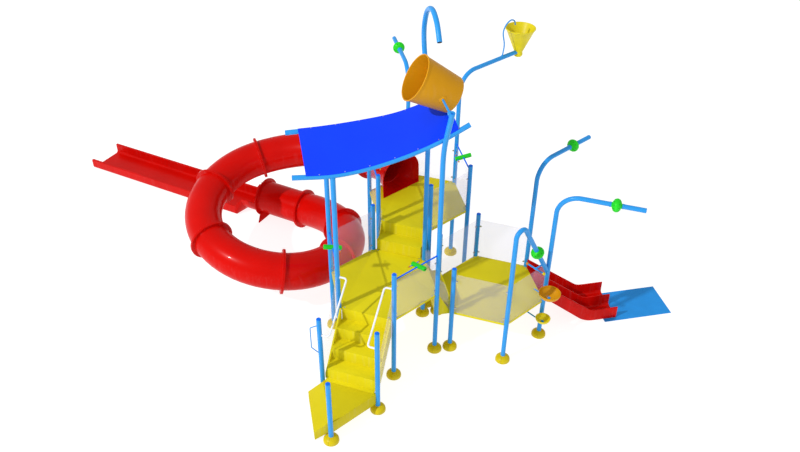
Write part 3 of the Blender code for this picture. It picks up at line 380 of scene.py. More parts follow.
# Entry post with its grab loop
# A thin bent bar, welded to the outside of the left-hand entry post, gives a hold beside the
# first step.
LOOP_R = 0.0105
LOOP_REACH = 0.18
LOOP_HEADING = 195              # degrees


def fillet(corners, radius, steps=8):
    """Path through corner points, with each inner corner rounded to a radius."""
    corners = [Vector(c) for c in corners]
    path = [corners[0]]
    for before, here, after in zip(corners, corners[1:], corners[2:]):
        a = (before - here).normalized()
        b = (after - here).normalized()
        half = a.angle(b) / 2
        centre = here + (a + b).normalized() * radius / math.sin(half)
        start = here + a * radius / math.tan(half) - centre
        end = here + b * radius / math.tan(half) - centre
        path += [centre + start.slerp(end, i / steps) * radius for i in range(steps + 1)]
    path.append(corners[-1])
    return path


left_post = Vector((-SIDE / 2, LANDING_Y, 0))
posts("entry_post_left", [(left_post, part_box("entry_post_left")[1].z)])
loop = [left_post + turn(LOOP_HEADING) * d + UP * z
        for d, z in ((0.03, 1.98), (LOOP_REACH, 1.91), (LOOP_REACH, 1.38), (0.03, 1.23))]
add("entry_grab_loop", sweep(fillet(loop, 0.04), LOOP_R, 12), post_paint)


# Spray pipes
# Three corner posts run up past their decks and bend over into level spray pipes. A green ball
# nozzle, moulded in two halves, is clamped on each, and a cap closes the pipe's end.
SPRAY_OVER_DECK = 2.78
SPRAY_REACH = 1.7
SPRAY_BALL = 1.13               # from the post to the ball, along the pipe
SPRAY_BEND = 0.45
BALL_R = 0.14
BALL_ALONG = 0.1                # half the ball's length along its pipe
BALL_LIP = 0.006
CLAMP_AT = 0.125                # from the ball's middle, along the pipe
JET_TIP = ((0, 0.008), (0.01, 0.008), (0.0115, 0.004))
JETS_ROUND = 10

ball_green = coloured("ball_green", (0.016, 0.7, 0.016), 0.35, depth=0.1, scale=8, grain=250)
# Black for the jet tips and cannon nozzles, and also painted shade inside the fill spout's mouth.
black_nozzles_and_shade = coloured("black_nozzles_and_shade", (0.01, 0.014, 0.012), 0.5, scale=30)


def ball(centre, along):
    """Ball nozzle round a pipe: two bowls that meet at a lip, with a collar on each side."""
    profile = []
    for a in range(-68, 69, 8):
        c, s = cos_sin(a)
        profile.append((BALL_ALONG * s, BALL_R * c - (0.0 if abs(a) > 3 else BALL_LIP)))
    profile = [(-BALL_ALONG - 0.004, 0.0515)] + profile + [(BALL_ALONG + 0.004, 0.0515)]
    return bar(centre, along, profile, 40)


def jets(centre, along):
    """Small black jet tips in two rings round a ball."""
    side = along.orthogonal().normalized()
    other = along.cross(side)
    shapes = []
    for lean in (-32, 32):
        c, s = cos_sin(lean)
        for k in range(JETS_ROUND):
            a = 2 * math.pi / JETS_ROUND * (k + (0.5 if lean > 0 else 0))
            radial = side * math.cos(a) + other * math.sin(a)
            out = (radial * c / BALL_R + along * s / BALL_ALONG).normalized()
            skin_point = centre + radial * BALL_R * c + along * BALL_ALONG * s
            shapes.append(bar(skin_point - out * 0.008, out, JET_TIP, 10))
    return shapes


def spray_route(base, heading, height, reach):
    """Path of a post that bends over into a level pipe."""
    top = base + UP * height
    return fillet([base + UP * 0.1, top, top + turn(heading) * reach], SPRAY_BEND, 14)


def spray_pipe(name, centre, heading, deck_z, stands_for):
    """Spray pipe from a deck's corner, with its ball, jets, clamps and end cap."""
    base = corner(centre, heading)
    height = deck_z + SPRAY_OVER_DECK
    out = turn(heading)
    path = spray_route(base, heading, height, SPRAY_REACH - 0.004)
    add(f"{name}_pipe", sweep(path, POST_R), post_paint, stands_for=stands_for)
    at = base + out * SPRAY_BALL + UP * height
    add(f"{name}_ball", ball(at, out), ball_green)
    add(f"{name}_jets", jets(at, out), black_nozzles_and_shade)
    end = base + out * SPRAY_REACH + UP * height
    end_cap = bar(end, -out, ((0, 0.03), (0.002, 0.042), (0.004, 0.046), (0.03, 0.046)), 24)
    add(f"{name}_end_cap", end_cap, cap_plastic)
    for place, d in (("in", -CLAMP_AT), ("out", CLAMP_AT)):
        clamp = bar(at + out * d, out, ((-0.014, 0.052), (-0.011, 0.056), (0.011, 0.056), (0.014, 0.052)))
        add(f"{name}_clamp_{place}", clamp, post_paint)


spray_pipe("spray_rear", UPPER, 120, UPPER_Z, ["spray_post_rear"])
spray_pipe("spray_slide", LOWER, 60, LOWER_Z, ["spray_post_slide"])


# Decks
# The three hexagonal decks are thick panels of yellow glass-fibre, with a sand-blasted top that
# wet feet hold on. Ribs run out underneath, and two bolts hold each corner down at its post.
PLATE_THICK = 0.055
RIB_DEPTH = 0.05
RIB_RING = SIDE - 0.12          # radius of the ring of ribs at its corners
BOLT_R = 0.011

blasted = {"depth": 0.08, "scale": 1.6, "grain": 230, "bump": 0.3, "shine": 0.1}
deck_yellow = coloured("deck_yellow", (0.75, 0.64, 0.008), 0.5, **blasted)
steel = coloured("bolt_steel", (0.55, 0.56, 0.58), 0.25, depth=0.15, scale=60)
steel.node_tree.nodes["Principled BSDF"].inputs["Metallic"].default_value = 0.9


def softened(name, source, material, bevel=0.006):
    """A node's own solid with its moulded edges rounded over."""
    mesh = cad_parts[source].data.copy()
    mesh.name = name
    shell = bmesh.new()
    shell.from_mesh(mesh)
    bmesh.ops.remove_doubles(shell, verts=shell.verts, dist=0.00002)
    bmesh.ops.dissolve_limit(shell, angle_limit=math.radians(0.6), verts=shell.verts, edges=shell.edges)
    shell.to_mesh(mesh)
    shell.free()
    mesh.materials.clear()
    mesh.materials.append(material)
    mesh.shade_smooth()
    return add(name, mesh, material, stands_for=[source], bevel=bevel)


def bolt(point, out, radius=BOLT_R, high=0.007):
    """Dome-headed bolt on a washer."""
    washer = ((-0.004, radius * 1.5), (0.0015, radius * 1.5))
    head = ((0.0016, radius), (high * 0.7, radius * 0.9), (high, radius * 0.45))
    return bar(point, out, washer + head, 12)


def beam(start, end, half, high):
    """Level rib with its top at the two points."""
    across = (end - start).normalized().cross(UP) * half
    foot = across * 0.7
    return loft([[p - across, p + across, p + foot - UP * high, p - foot - UP * high] for p in (start, end)])


for deck, centre, top in (("middle", MIDDLE, MIDDLE_Z), ("upper", UPPER, UPPER_Z), ("lower", LOWER, LOWER_Z)):
    softened(f"{deck}_deck_panel", f"{deck}_deck", deck_yellow)
    under = centre + UP * (top - PLATE_THICK)
    ribs = [beam(under + turn(a) * 0.04, under + turn(a) * (SIDE - POST_R - 0.03), 0.03, RIB_DEPTH)
            for a in CORNERS]
    ribs += [beam(under + turn(a) * RIB_RING, under + turn(a + 60) * RIB_RING, 0.02, RIB_DEPTH * 0.8)
             for a in CORNERS]
    add(f"{deck}_deck_ribs", ribs, deck_yellow, bevel=0.003)
    bolts = []
    for a in CORNERS:
        for b in (a + 120, a - 120):
            at = corner(centre, a) + turn(b) * 0.1 + UP * (top - 0.0015)
            bolts.append(bolt(at + turn(a + 180) * 0.03, UP, high=0.0035))
    add(f"{deck}_deck_bolts", bolts, steel)


# Landing and entry flight
# The triangular landing has a deep skirt and a short moulded ramp down its left side. The flight
# above it is one moulding with closed risers, between two cheeks that rise over the treads.
# The landing is moulded in the decks' yellow. Its colour here is made darker as painted shade, so that it
# does not read brighter than the decks under the key light.
landing_shaded_yellow = coloured("landing_shaded_yellow", (0.62, 0.52, 0.007), 0.5, **blasted)
softened("entry_landing", "landing", landing_shaded_yellow, bevel=0.008)
softened("entry_steps", "entry_flight", deck_yellow)


# Clear guards
# Between the posts stand 12 mm sheets of clear polycarbonate with rounded edges. At two heights
# a pair of bright steel clips, each with one bolt, holds each end of a sheet to its post.
PANEL_THICK = 0.012
SEAT = 0.0003
CLIP_THICK = 0.004
CLIP_SHAPE = ((0, -0.013), (0.036, -0.013), (0.042, -0.006), (0.042, 0.006), (0.036, 0.013), (0, 0.013))

clear_sheet = coloured("clear_sheet", (0.72, 0.69, 0.95), 0.12, depth=0.04, grain=60, bump=0.02, shine=0.3)
clear_sheet.node_tree.nodes["Principled BSDF"].inputs["Alpha"].default_value = 0.125


def guard(name, node_name, a, b, heights):
    """Clear sheet for a node between two posts, with its clips at the given heights."""
    softened(f"{name}_sheet", node_name, clear_sheet, bevel=0.002)
    along = (b - a).normalized()
    inward = UP.cross(along)
    clips = []
    for start, way in ((a, along), (b, -along)):
        for z in heights:
            base = start + way * (POST_R - 0.004) + inward * (PANEL_THICK / 2 + SEAT) + UP * z
            for face in (inward, -inward):
                at = base + face * (PANEL_THICK / 2 + 0.0015)
                clip = [[at + way * s + UP * h + face * d for s, h in CLIP_SHAPE] for d in (0, CLIP_THICK)]
                clips += [loft(clip), bolt(at + way * 0.028 + face * CLIP_THICK, face, 0.006, 0.004)]
    add(f"{name}_clips", clips, steel)


GUARDS = (("middle", MIDDLE, MIDDLE_Z, (("right", 300), ("left_front", 180), ("left_rear", 120))),
          ("upper", UPPER, UPPER_Z, (("right_front", 300), ("right_rear", 0), ("rear", 60), ("left", 180))),
          ("lower", LOWER, LOWER_Z, (("front", 240), ("rear", 60), ("inner_rear", 120), ("right", 300))))
for deck, centre, deck_z, sides in GUARDS:
    for place, angle in sides:
        ends = [corner(centre, a) for a in (angle, angle + 60)]
        guard(f"{deck}_guard_{place}", f"{deck}_panel_{place}", *ends, (deck_z + 0.12, deck_z + 0.86))


# Steps between the decks
# One yellow tread and its riser bridge each gap between two decks. Yellow cheeks close its ends up
# to the climbing line, and a rounded clear sheet over each keeps a foot from the gap.
STEP_RISE = (MIDDLE_Z - LOWER_Z) / 2
STEP_RUN = 0.3494
STEP_HALF = SIDE / 2 - POST_R - 0.035
CHEEK_THICK = 0.0135


def step(name, node_name, centre, heading, low_z, climbing):
    """Step for a node; its shapes are drawn from the lower deck's edge, as (distance, height)."""
    high_z = low_z + 2 * STEP_RISE
    start = centre + turn(heading) * (APOTHEM + SEAT)
    far = STEP_RUN - SEAT

    def solid(shape, near_w, far_w):
        places = [(s if climbing else STEP_RUN - s, z) for s, z in shape]
        return loft([[start + turn(heading) * s + turn(heading + 90) * w + UP * z for s, z in places]
                     for w in (near_w, far_w)])

    tread = [(0, low_z - PLATE_THICK), (0, low_z + STEP_RISE), (STEP_RUN - 0.02, low_z + STEP_RISE),
             (STEP_RUN - 0.02, high_z), (STEP_RUN, high_z), (STEP_RUN, low_z - PLATE_THICK)]
    cheek = [(SEAT, low_z - 0.1), (SEAT, low_z), (0.04, low_z), (far, high_z + 0.02), (far, low_z - 0.1)]
    sheet = [(0.041, low_z + 0.004), (0.041, low_z + 0.1), (0.08, high_z - 0.12), (0.112, high_z + 0.02),
             (0.15, high_z + 0.15), (0.187, high_z + 0.225), (0.23, high_z + 0.27), (0.285, high_z + 0.295),
             (far, high_z + 0.305), (far, high_z + 0.022)]
    add(f"{name}_tread", solid(tread, -STEP_HALF, STEP_HALF), deck_yellow,
        stands_for=[node_name], bevel=0.004)
    ends = [(STEP_HALF, STEP_HALF + CHEEK_THICK), (-STEP_HALF - CHEEK_THICK, -STEP_HALF)]
    add(f"{name}_cheeks", [solid(cheek, *w) for w in ends], deck_yellow, bevel=0.002)
    add(f"{name}_sheets", [solid(sheet, *w) for w in ends], clear_sheet, bevel=0.002)


step("step_up_to_upper", "step_to_upper", MIDDLE, 90, MIDDLE_Z, True)
step("step_down_to_lower", "step_to_lower", MIDDLE, 30, LOWER_Z, False)


# Cannon bars and water cannons
# Four sides of the decks carry a thin blue bar, welded between their posts. A green plastic
# cannon tips on each bar: a barrel with a dark nozzle, and a thin handlebar with round tips.
BAR_OVER_DECK = 1.05
BAR_R = 0.0175
BARREL_R = 0.05
BARREL_HALF = 0.188
CANNON_TILT = math.radians(12)  # the rise of a cannon's outer end at rest

cannon_green = coloured("cannon_green", (0.016, 0.6, 0.018), 0.35, depth=0.1, scale=14, grain=300)
tip_orange = coloured("tip_orange", (0.62, 0.22, 0.01), 0.4, scale=30)
bar_paint = coloured("bar_paint", (0.001, 0.16, 0.9), 0.3, scale=6, grain=420)


def cannon_bar(a, b, deck_z):
    """Bar between two posts, with a weld collar at each end."""
    along = (b - a).normalized()
    z = UP * (deck_z + BAR_OVER_DECK)
    length = (b - a).length
    near = POST_R + 0.001
    profile = ((near - 0.006, BAR_R + 0.007), (near + 0.002, BAR_R + 0.006), (near + 0.008, BAR_R))
    ends = [(length - s, r) for s, r in reversed(profile)]
    return bar(a + z, along, (*profile, *ends), 24)


def cannon(body, a, b, deck_z):
    """Water cannon on its body, with its fixed bar: grooved barrel, nozzle and handlebar."""
    along = (b - a).normalized()
    aim = UP.cross(along) * math.cos(CANNON_TILT) - UP * math.sin(CANNON_TILT)
    low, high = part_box(body)
    pivot = a + along * ((low + high) / 2 - a).dot(along)
    pivot.z = deck_z + BAR_OVER_DECK
    place = body.removeprefix("cannon_")
    add(f"{place}_bar", cannon_bar(a, b, deck_z), bar_paint)
    half = [(BARREL_HALF, 0.024), (BARREL_HALF, 0.042), (BARREL_HALF - 0.003, 0.047),
            (BARREL_HALF - 0.01, BARREL_R), (0.126, BARREL_R), (0.124, 0.0475), (0.118, 0.0475),
            (0.116, BARREL_R)]
    barrel = [(-s, r) for s, r in half] + [(s, r) for s, r in reversed(half)]
    add(f"{body}_barrel", bar(pivot, aim, barrel), cannon_green, body, [body])
    mouth = ((-BARREL_HALF - 0.0003, 0.026), (-BARREL_HALF - 0.0004, 0.014), (-BARREL_HALF + 0.008, 0.012))
    add(f"{body}_nozzle", bar(pivot, aim, mouth, 24), black_nozzles_and_shade, body)
    grip = pivot + aim * 0.14
    rod = ((-0.13, 0.0085), (-0.1295, 0.0095), (0.1295, 0.0095), (0.13, 0.0085))
    add(f"{body}_handlebar", bar(grip, along, rod, 16), bar_paint, body)
    tip = ((0, 0.011), (0.002, 0.016), (0.008, 0.018), (0.024, 0.0175), (0.03, 0.013), (0.033, 0.006))
    tips = [bar(grip + way * 0.122, way, tip, 20) for way in (along, -along)]
    add(f"{body}_grips", tips, tip_orange, body)


for deck, centre, deck_z, right in (("middle", MIDDLE, MIDDLE_Z, 300), ("upper", UPPER, UPPER_Z, 0)):
    cannon(f"cannon_{deck}_right", corner(centre, right), corner(centre, right + 60), deck_z)
    cannon(f"cannon_{deck}_left", corner(centre, 180), corner(centre, 240), deck_z)
posts("upper_posts_left", [(corner(UPPER, a), UPPER_Z + POST_ABOVE) for a in (180, 240)])


# Stair guards and handrails
# A sloping clear sheet stands outside each cheek of the flight. Inside it a white coated handrail
# follows the stairs, and is bent at both ends into flanges on the posts.
RAIL_R = 0.0195
RAIL_TOP = 2.43
RAIL_LOW = 1.74
RAIL_INSET = 0.4                # the rail's distance from the middle of the stairs
RAIL_FLANGE = ((0, 0.03), (0.005, 0.03), (0.009, 0.026), (0.011, 0.02))
DECK_Y = MIDDLE.y - APOTHEM

rail_white = coloured("rail_white", (0.86, 0.87, 0.9), 0.25, depth=0.04, scale=5, grain=420, marks=0.0,
                      coat=0.2)
for name, side in (("left", -1), ("right", 1)):
    softened(f"stair_sheet_{name}", f"stair_guard_{name}", clear_sheet, bevel=0.002)
    x, inner = side * (SIDE / 2 - POST_R), side * RAIL_INSET
    route = fillet([(x, DECK_Y, RAIL_TOP), (inner, DECK_Y, RAIL_TOP), (inner, LANDING_Y, RAIL_LOW),
                    (x, LANDING_Y, RAIL_LOW)], 0.06, 10)
    rail = [sweep(route, RAIL_R, 20)]
    for y, z in ((DECK_Y, RAIL_TOP), (LANDING_Y, RAIL_LOW)):
        rail.append(bar(Vector((x + side * 0.004, y, z)), Vector((-side, 0, 0)), RAIL_FLANGE, 24))
    add(f"stair_rail_{name}", rail, rail_white, stands_for=[f"handrail_{name}"])


# Roof
# Two bent blue tubes are welded to the tops of the left-hand posts, and the bucket's arms hold
# them on the right. A thin sheet of strong blue glass-fibre is bolted down over both.
ROOF_TUBE_R = 0.05
SADDLE = 0.02                   # the posts' tops, under the axes of the tubes
ROOF_SHEET = 0.008
FRONT_EDGE = ((-0.74, 4.87), (0.0, 4.83), (0.7, 4.915), (1.4, 5.10), (2.0, 5.33), (2.56, 5.63))
REAR_EDGE = ((-0.74, 5.13), (0.0, 5.15), (0.7, 5.20), (1.4, 5.29), (2.0, 5.47), (2.56, 5.74))
ROOF_ALONG = turn(30)
ROOF_ACROSS = turn(120)

roof_blue = coloured("roof_blue", (0.003, 0.052, 1.0), 0.3, depth=0.08, scale=1.4, grain=260, bump=0.06,
                     shine=0.12)


def smooth(keys, steps):
    """Curve through key points, evenly cut."""
    keys = [Vector(k) for k in keys]
    ends = [keys[0] * 2 - keys[1]] + keys + [keys[-1] * 2 - keys[-2]]
    path = []
    for p0, p1, p2, p3 in zip(ends, ends[1:], ends[2:], ends[3:]):
        for i in range(steps):
            t = i / steps
            path.append(0.5 * (2 * p1 + (p2 - p0) * t + (2 * p0 - 5 * p1 + 4 * p2 - p3) * t ** 2
                               + (3 * p1 - p0 - 3 * p2 + p3) * t ** 3))
    path.append(keys[-1])
    return path


def height_at(keys, s):
    """Height at a distance on the smooth curve through keys of distance and height."""
    curve = smooth(keys, 8)
    for p, q in zip(curve, curve[1:]):
        if p.x <= s <= q.x:
            return p.y + (q.y - p.y) * (s - p.x) / (q.x - p.x)
    return curve[-1].y


def roof_curve(keys, start):
    """Axis of a roof tube from the foot of its first post."""
    return [start + ROOF_ALONG * p.x + UP * p.y for p in smooth(keys, 9)]


front_left, rear_left = corner(MIDDLE, 240), corner(MIDDLE, 180)
tops = [(front_left, height_at(FRONT_EDGE, 0) - SADDLE), (rear_left, height_at(REAR_EDGE, 0) - SADDLE)]
seam = ((-0.06, POST_R), (-0.05, POST_R + 0.002), (-0.03, POST_R + 0.006), (-0.02, POST_R))
welds = [bar(b + UP * t, UP, seam) for b, t in tops]
add("roof_posts_left_tubes", [post(b, t) for b, t in tops] + welds, post_paint,
    stands_for=["roof_posts_left"])

for name, keys, start in (("front", FRONT_EDGE, front_left), ("rear", REAR_EDGE, rear_left)):
    axis = roof_curve(keys, start)
    ahead = (axis[1] - axis[0]).normalized()
    back = (axis[-2] - axis[-1]).normalized()
    axis[0], axis[-1] = axis[0] + ahead * 0.002, axis[-1] + back * 0.002
    add(f"roof_rail_{name}", sweep(axis, ROOF_TUBE_R), post_paint)
    ends = [bar(at - way * 0.002, way, ((0, 0.03), (0.001, 0.044), (0.003, 0.047), (0.02, 0.047)), 24)
            for at, way in ((axis[0], ahead), (axis[-1], back))]
    add(f"roof_rail_{name}_caps", ends, cap_plastic)

front = roof_curve(FRONT_EDGE, front_left)
rear = roof_curve(REAR_EDGE, rear_left)
lift = ROOF_TUBE_R + 2 * SEAT
loops, screws = [], []
for i in range(3, len(front) - 3):
    across = (rear[i] - front[i]).normalized()
    section = []
    for curve, outward in ((front, -0.02), (rear, 0.02)):
        slope = (curve[i + 1] - curve[i - 1]).normalized()
        normal = slope.cross(across).normalized()
        edge = curve[i] + across * outward
        section.append((edge + normal * lift, edge + normal * (lift + ROOF_SHEET)))
        if i % 6 == 0:
            screws.append(bolt(curve[i] + normal * (lift + ROOF_SHEET - 0.0005), normal, 0.008, 0.004))
    (f_low, f_high), (r_low, r_high) = section
    loops.append([f_low, f_high, r_high, r_low])
points, quads = loft(loops)
halves = []
for a, b, c, d in quads:
    if a % 4 == 3:              # the underside folds along the same diagonals as the top
        a, b, c, d = b, c, d, a
    halves += [(a, b, c), (a, c, d)]
add("roof_panel", (points, halves), roof_blue, stands_for=["roof_sheet"], bevel=0.002)
add("roof_screws", screws, steel)


# Bucket arms and fill spout
# Two of the right-hand posts carry on upwards, lean apart past the roof and hold the bearings of
# the bucket. The rear one goes on as a swan neck that fills the bucket from its open mouth.
PIVOT_Z = 6.07
ARM_BEND = 1.4
ARM_LEAN = 26                   # degrees
BEARING_R = 0.05
CHORD = SIDE * math.sqrt(3)     # between the two posts that carry each roof tube
PIVOT = (corner(MIDDLE, 0) + corner(MIDDLE, 60)) / 2 + UP * PIVOT_Z
# The spout's axis beyond the far arm: distance behind the bucket's middle, and height
SWAN_NECK = ((0.92, 6.0), (1.15, 6.42), (1.2, 6.8), (1.0, 7.19), (0.62, 7.3675), (0.26, 7.27), (0.0, 7.0))


def arm_start(tube_z):
    """Height where an arm starts to bend, so that it just passes beside a roof tube."""
    beside = POST_R + ROOF_TUBE_R + SEAT
    return tube_z - math.sqrt((ARM_BEND + beside) ** 2 - ARM_BEND ** 2)


def arm_path(base, out, bend_z):
    """First part of a bucket arm: upright, then bent outwards to its lean."""
    path = [base + UP * 0.1, base + UP * bend_z]
    for i in range(1, 13):
        a = math.radians(ARM_LEAN * i / 12)
        path.append(base + UP * (bend_z + ARM_BEND * math.sin(a)) + out * ARM_BEND * (1 - math.cos(a)))
    return path


def at_height(path, z):
    """Point where a rising path passes a height."""
    for p, q in zip(path, path[1:]):
        if p.z <= z <= q.z:
            return p.lerp(q, (z - p.z) / (q.z - p.z))
    return path[-1]


def housing(arm_point, towards):
    """Bearing housing: a drum that grows out of the arm and steps down to a seal lip."""
    drum = ((0.03, BEARING_R), (0.12, BEARING_R), (0.122, BEARING_R - 0.004), (0.14, BEARING_R - 0.004))
    lip = ((0.148, BEARING_R - 0.008), (0.149, 0.027), (0.14, 0.0265))
    return bar(arm_point, towards, drum + lip)


stair_post, arm_base, spout_base = corner(MIDDLE, 300), corner(MIDDLE, 0), corner(MIDDLE, 60)
path = arm_path(arm_base, -ROOF_ACROSS, arm_start(height_at(FRONT_EDGE, CHORD)))
lean = (path[-1] - path[-2]).normalized()
path.append(path[-1] + lean * ((PIVOT_Z + 0.09 - path[-1].z) / lean.z))
near_arm = at_height(path, PIVOT_Z)
parts = [sweep(path, POST_R), post(stair_post, MIDDLE_Z + POST_ABOVE), housing(near_arm, ROOF_ACROSS)]
add("bucket_arm_near", parts, post_paint, stands_for=["bucket_post_right"])
end_cap = bar(path[-1], -lean, ((0, 0.03), (0.001, 0.04), (0.004, 0.047), (0.03, 0.047)), 24)
both_caps = [end_cap, cap(stair_post, MIDDLE_Z + POST_ABOVE)]
add("bucket_arm_near_caps", both_caps, cap_plastic)

path = arm_path(spout_base, ROOF_ACROSS, arm_start(height_at(REAR_EDGE, CHORD)))
middle = Vector((PIVOT.x, PIVOT.y, 0))
keys = [path[-1]] + [middle + ROOF_ACROSS * s + UP * z for s, z in SWAN_NECK]
path += smooth(keys, 9)[1:]
far_arm = at_height(path, PIVOT_Z)
mouth = (path[-1] - path[-2]).normalized()
add("fill_spout", [sweep(path, POST_R), housing(far_arm, -ROOF_ACROSS)], post_paint,
    stands_for=["fill_spout_post"])
# The pipe's end is drawn closed. A black plug just inside its rim is painted shade for the dark inside of the
# open mouth.
mouth_shade_plug = bar(path[-1] + mouth * 0.0002, mouth, ((-0.03, 0.042), (0, 0.043), (0.0008, 0.04)))
add("fill_spout_mouth", mouth_shade_plug, black_nozzles_and_shade)


# Tipping bucket
# A heavy tapered bucket of orange glass-fibre, with a rolled rim and a weighted base. It pours
# forward when full and swings back on two steel stub shafts in boss plates.
BUCKET = "bucket"
BUCKET_MOUTH_R = 0.445
BUCKET_BASE_R = 0.35
BUCKET_BEHIND = 0.335
BUCKET_AHEAD = 0.525
BUCKET_WALL = 0.012
BUCKET_BASE = 0.029
BUCKET_BELOW = 0.035
BUCKET_TILT = 30                # degrees
SHAFT_R = 0.022

bucket_orange = coloured("bucket_orange", (0.69, 0.315, 0.005), 0.35, depth=0.06, scale=3.5, grain=240,
                         marks=0.015, shine=0.12)
tilt = math.radians(BUCKET_TILT)
mouth = -ROOF_ALONG * math.cos(tilt) + UP * math.sin(tilt)
below = ROOF_ACROSS.cross(mouth)
place = Matrix((ROOF_ACROSS, -below, mouth)).transposed().to_4x4()
place.translation = PIVOT + below * BUCKET_BELOW
grow = (BUCKET_MOUTH_R - BUCKET_BASE_R) / (BUCKET_BEHIND + BUCKET_AHEAD)


def wall_r(along):
    """Outer radius of the bucket's wall at a distance from its shafts towards the mouth."""
    return BUCKET_BASE_R + grow * (along + BUCKET_BEHIND)


low, high = -BUCKET_BEHIND, BUCKET_AHEAD
rim_r = wall_r(high) + 0.012
profile = [(0, low), (BUCKET_BASE_R - 0.05, low), (BUCKET_BASE_R - 0.02, low + 0.004),
           (BUCKET_BASE_R - 0.006, low + 0.016), (wall_r(low + 0.04), low + 0.04),
           (wall_r(high - 0.05), high - 0.05), (wall_r(high - 0.03) + 0.001, high - 0.03)]
rolled_rim = [(rim_r - 0.002, high - 0.022), (rim_r, high - 0.016), (rim_r, high - 0.006),
              (rim_r - 0.004, high - 0.001), (rim_r - 0.008, high), (rim_r - 0.018, high)]
hollow = [(wall_r(high) - BUCKET_WALL, high - 0.006), (wall_r(low + 0.06) - BUCKET_WALL, low + 0.06),
          (BUCKET_BASE_R - 0.035, low + 0.036), (BUCKET_BASE_R - 0.06, low + BUCKET_BASE),
          (0, low + BUCKET_BASE)]
shell = turned(profile + rolled_rim + hollow, 72, place)
add("bucket_shell", shell, bucket_orange, BUCKET, ["bucket"])
bosses, shafts = [], []
wall = wall_r(0)
boss = ((wall - 0.008, 0.07), (wall + 0.002, 0.07), (wall + 0.006, 0.066), (wall + 0.007, 0.045),
        (wall + 0.013, 0.04), (wall + 0.014, 0.023))
for arm, out in ((near_arm, -ROOF_ACROSS), (far_arm, ROOF_ACROSS)):
    reach = (arm - PIVOT).dot(out)
    bosses.append(bar(PIVOT, out, boss, 40))
    shaft = ((wall, SHAFT_R - 0.001), (reach - 0.08, SHAFT_R - 0.001), (reach - 0.077, 0.019))
    shafts.append(bar(PIVOT, out, shaft, 24))
add("bucket_bosses", bosses, bucket_orange, BUCKET)
add("bucket_shafts", shafts, post_paint, BUCKET)


# Water cone
# A blue arm from the upper deck holds an open yellow cone. A thin bent tube leaves the arm and
# hooks over the cone's rim to fill it.
CONE_REACH = 1.9
CONE_LOW = 4.88
CONE_HIGH = 0.7
CONE_RIM_R = 0.345
CONE_FOOT_R = 0.105
CONE_NECK_R = 0.095
CONE_NECK_Z = 0.115
CONE_WALL = 0.012
FEED_R = 0.0155

cone_yellow = coloured("cone_yellow", (0.78, 0.66, 0.01), 0.35, depth=0.08, scale=6, grain=240)
short, tall = corner(UPPER, 0), corner(UPPER, 60)
arm_z = UPPER_Z + SPRAY_OVER_DECK + 0.04
arm_out = turn(60)
arm = spray_route(tall, 60, arm_z, CONE_REACH - CONE_NECK_R + 0.01)
feed = smooth([tall + arm_out * d + UP * z for d, z in (
    (1.34, arm_z), (1.38, 5.3), (1.31, 5.6), (1.38, 5.77), (1.53, 5.85), (1.66, 5.8), (1.7, 5.7))], 8)
collar = bar(tall + arm_out * 1.342 + UP * (arm_z + 0.03), UP, ((0, 0.026), (0.024, 0.026), (0.03, 0.02)), 20)
parts = [sweep(arm, POST_R), post(short, UPPER_Z + POST_ABOVE), sweep(feed, FEED_R, 16), collar]
add("cone_arm", parts, post_paint, stands_for=["cone_arm_posts"])
add("upper_right_caps", cap(short, UPPER_Z + POST_ABOVE), cap_plastic)

axis = tall + arm_out * CONE_REACH + UP * CONE_LOW
rim = CONE_RIM_R + 0.008
mouth_r = CONE_RIM_R - CONE_WALL
knob = [(0, 0), (0.06, 0.001), (0.085, 0.009), (0.099, 0.026), (CONE_FOOT_R - 0.0005, 0.05), (0.103, 0.075),
        (0.098, 0.097), (CONE_NECK_R, CONE_NECK_Z)]
lip = [(mouth_r, CONE_HIGH - 0.035), (rim - 0.003, CONE_HIGH - 0.022), (rim, CONE_HIGH - 0.015),
       (rim, CONE_HIGH - 0.005), (rim - 0.004, CONE_HIGH), (mouth_r + 0.003, CONE_HIGH),
       (mouth_r, CONE_HIGH - 0.004)]
hollow = [(CONE_NECK_R - 0.005, CONE_NECK_Z + 0.01), (0, CONE_NECK_Z + 0.01)]
shell = turned(knob + lip + hollow, 64, Matrix.Translation(axis))
add("cone_shell", shell, cone_yellow, stands_for=["water_cone"])


# Spray arch and valve
# Over the lower deck's right side one pipe rises and slopes down to the far post, with a ball
# nozzle on its slope. A blue T-handle with round grips turns the valve at its foot.
ARCH_CORNER = 3.86
ARCH_FOOT = 1.84
ARCH_BALL = 0.884               # from the arch's low end up to its ball
VALVE_Z = 2.17
VALVE = "valve_handle"

spray_pipe("spray_right", LOWER, 0, LOWER_Z, ["arch_posts"])
near_base, far_base = corner(LOWER, 300), corner(LOWER, 0)
route = fillet([near_base + UP * 0.1, near_base + UP * ARCH_CORNER, far_base + UP * ARCH_FOOT], 0.15, 14)
add("arch_pipe", sweep(route, POST_R), post_paint)
slope_dir = (route[-1] - route[-2]).normalized()
at = route[-1] - slope_dir * ARCH_BALL
add("arch_ball", ball(at, slope_dir), ball_green)
add("arch_jets", jets(at, slope_dir), black_nozzles_and_shade)
weld_at = far_base + UP * ARCH_FOOT - slope_dir * 0.1
weld = bar(weld_at, slope_dir, ((-0.012, 0.051), (-0.004, 0.055), (0.012, 0.055), (0.04, 0.051)))
add("arch_weld", weld, post_paint)

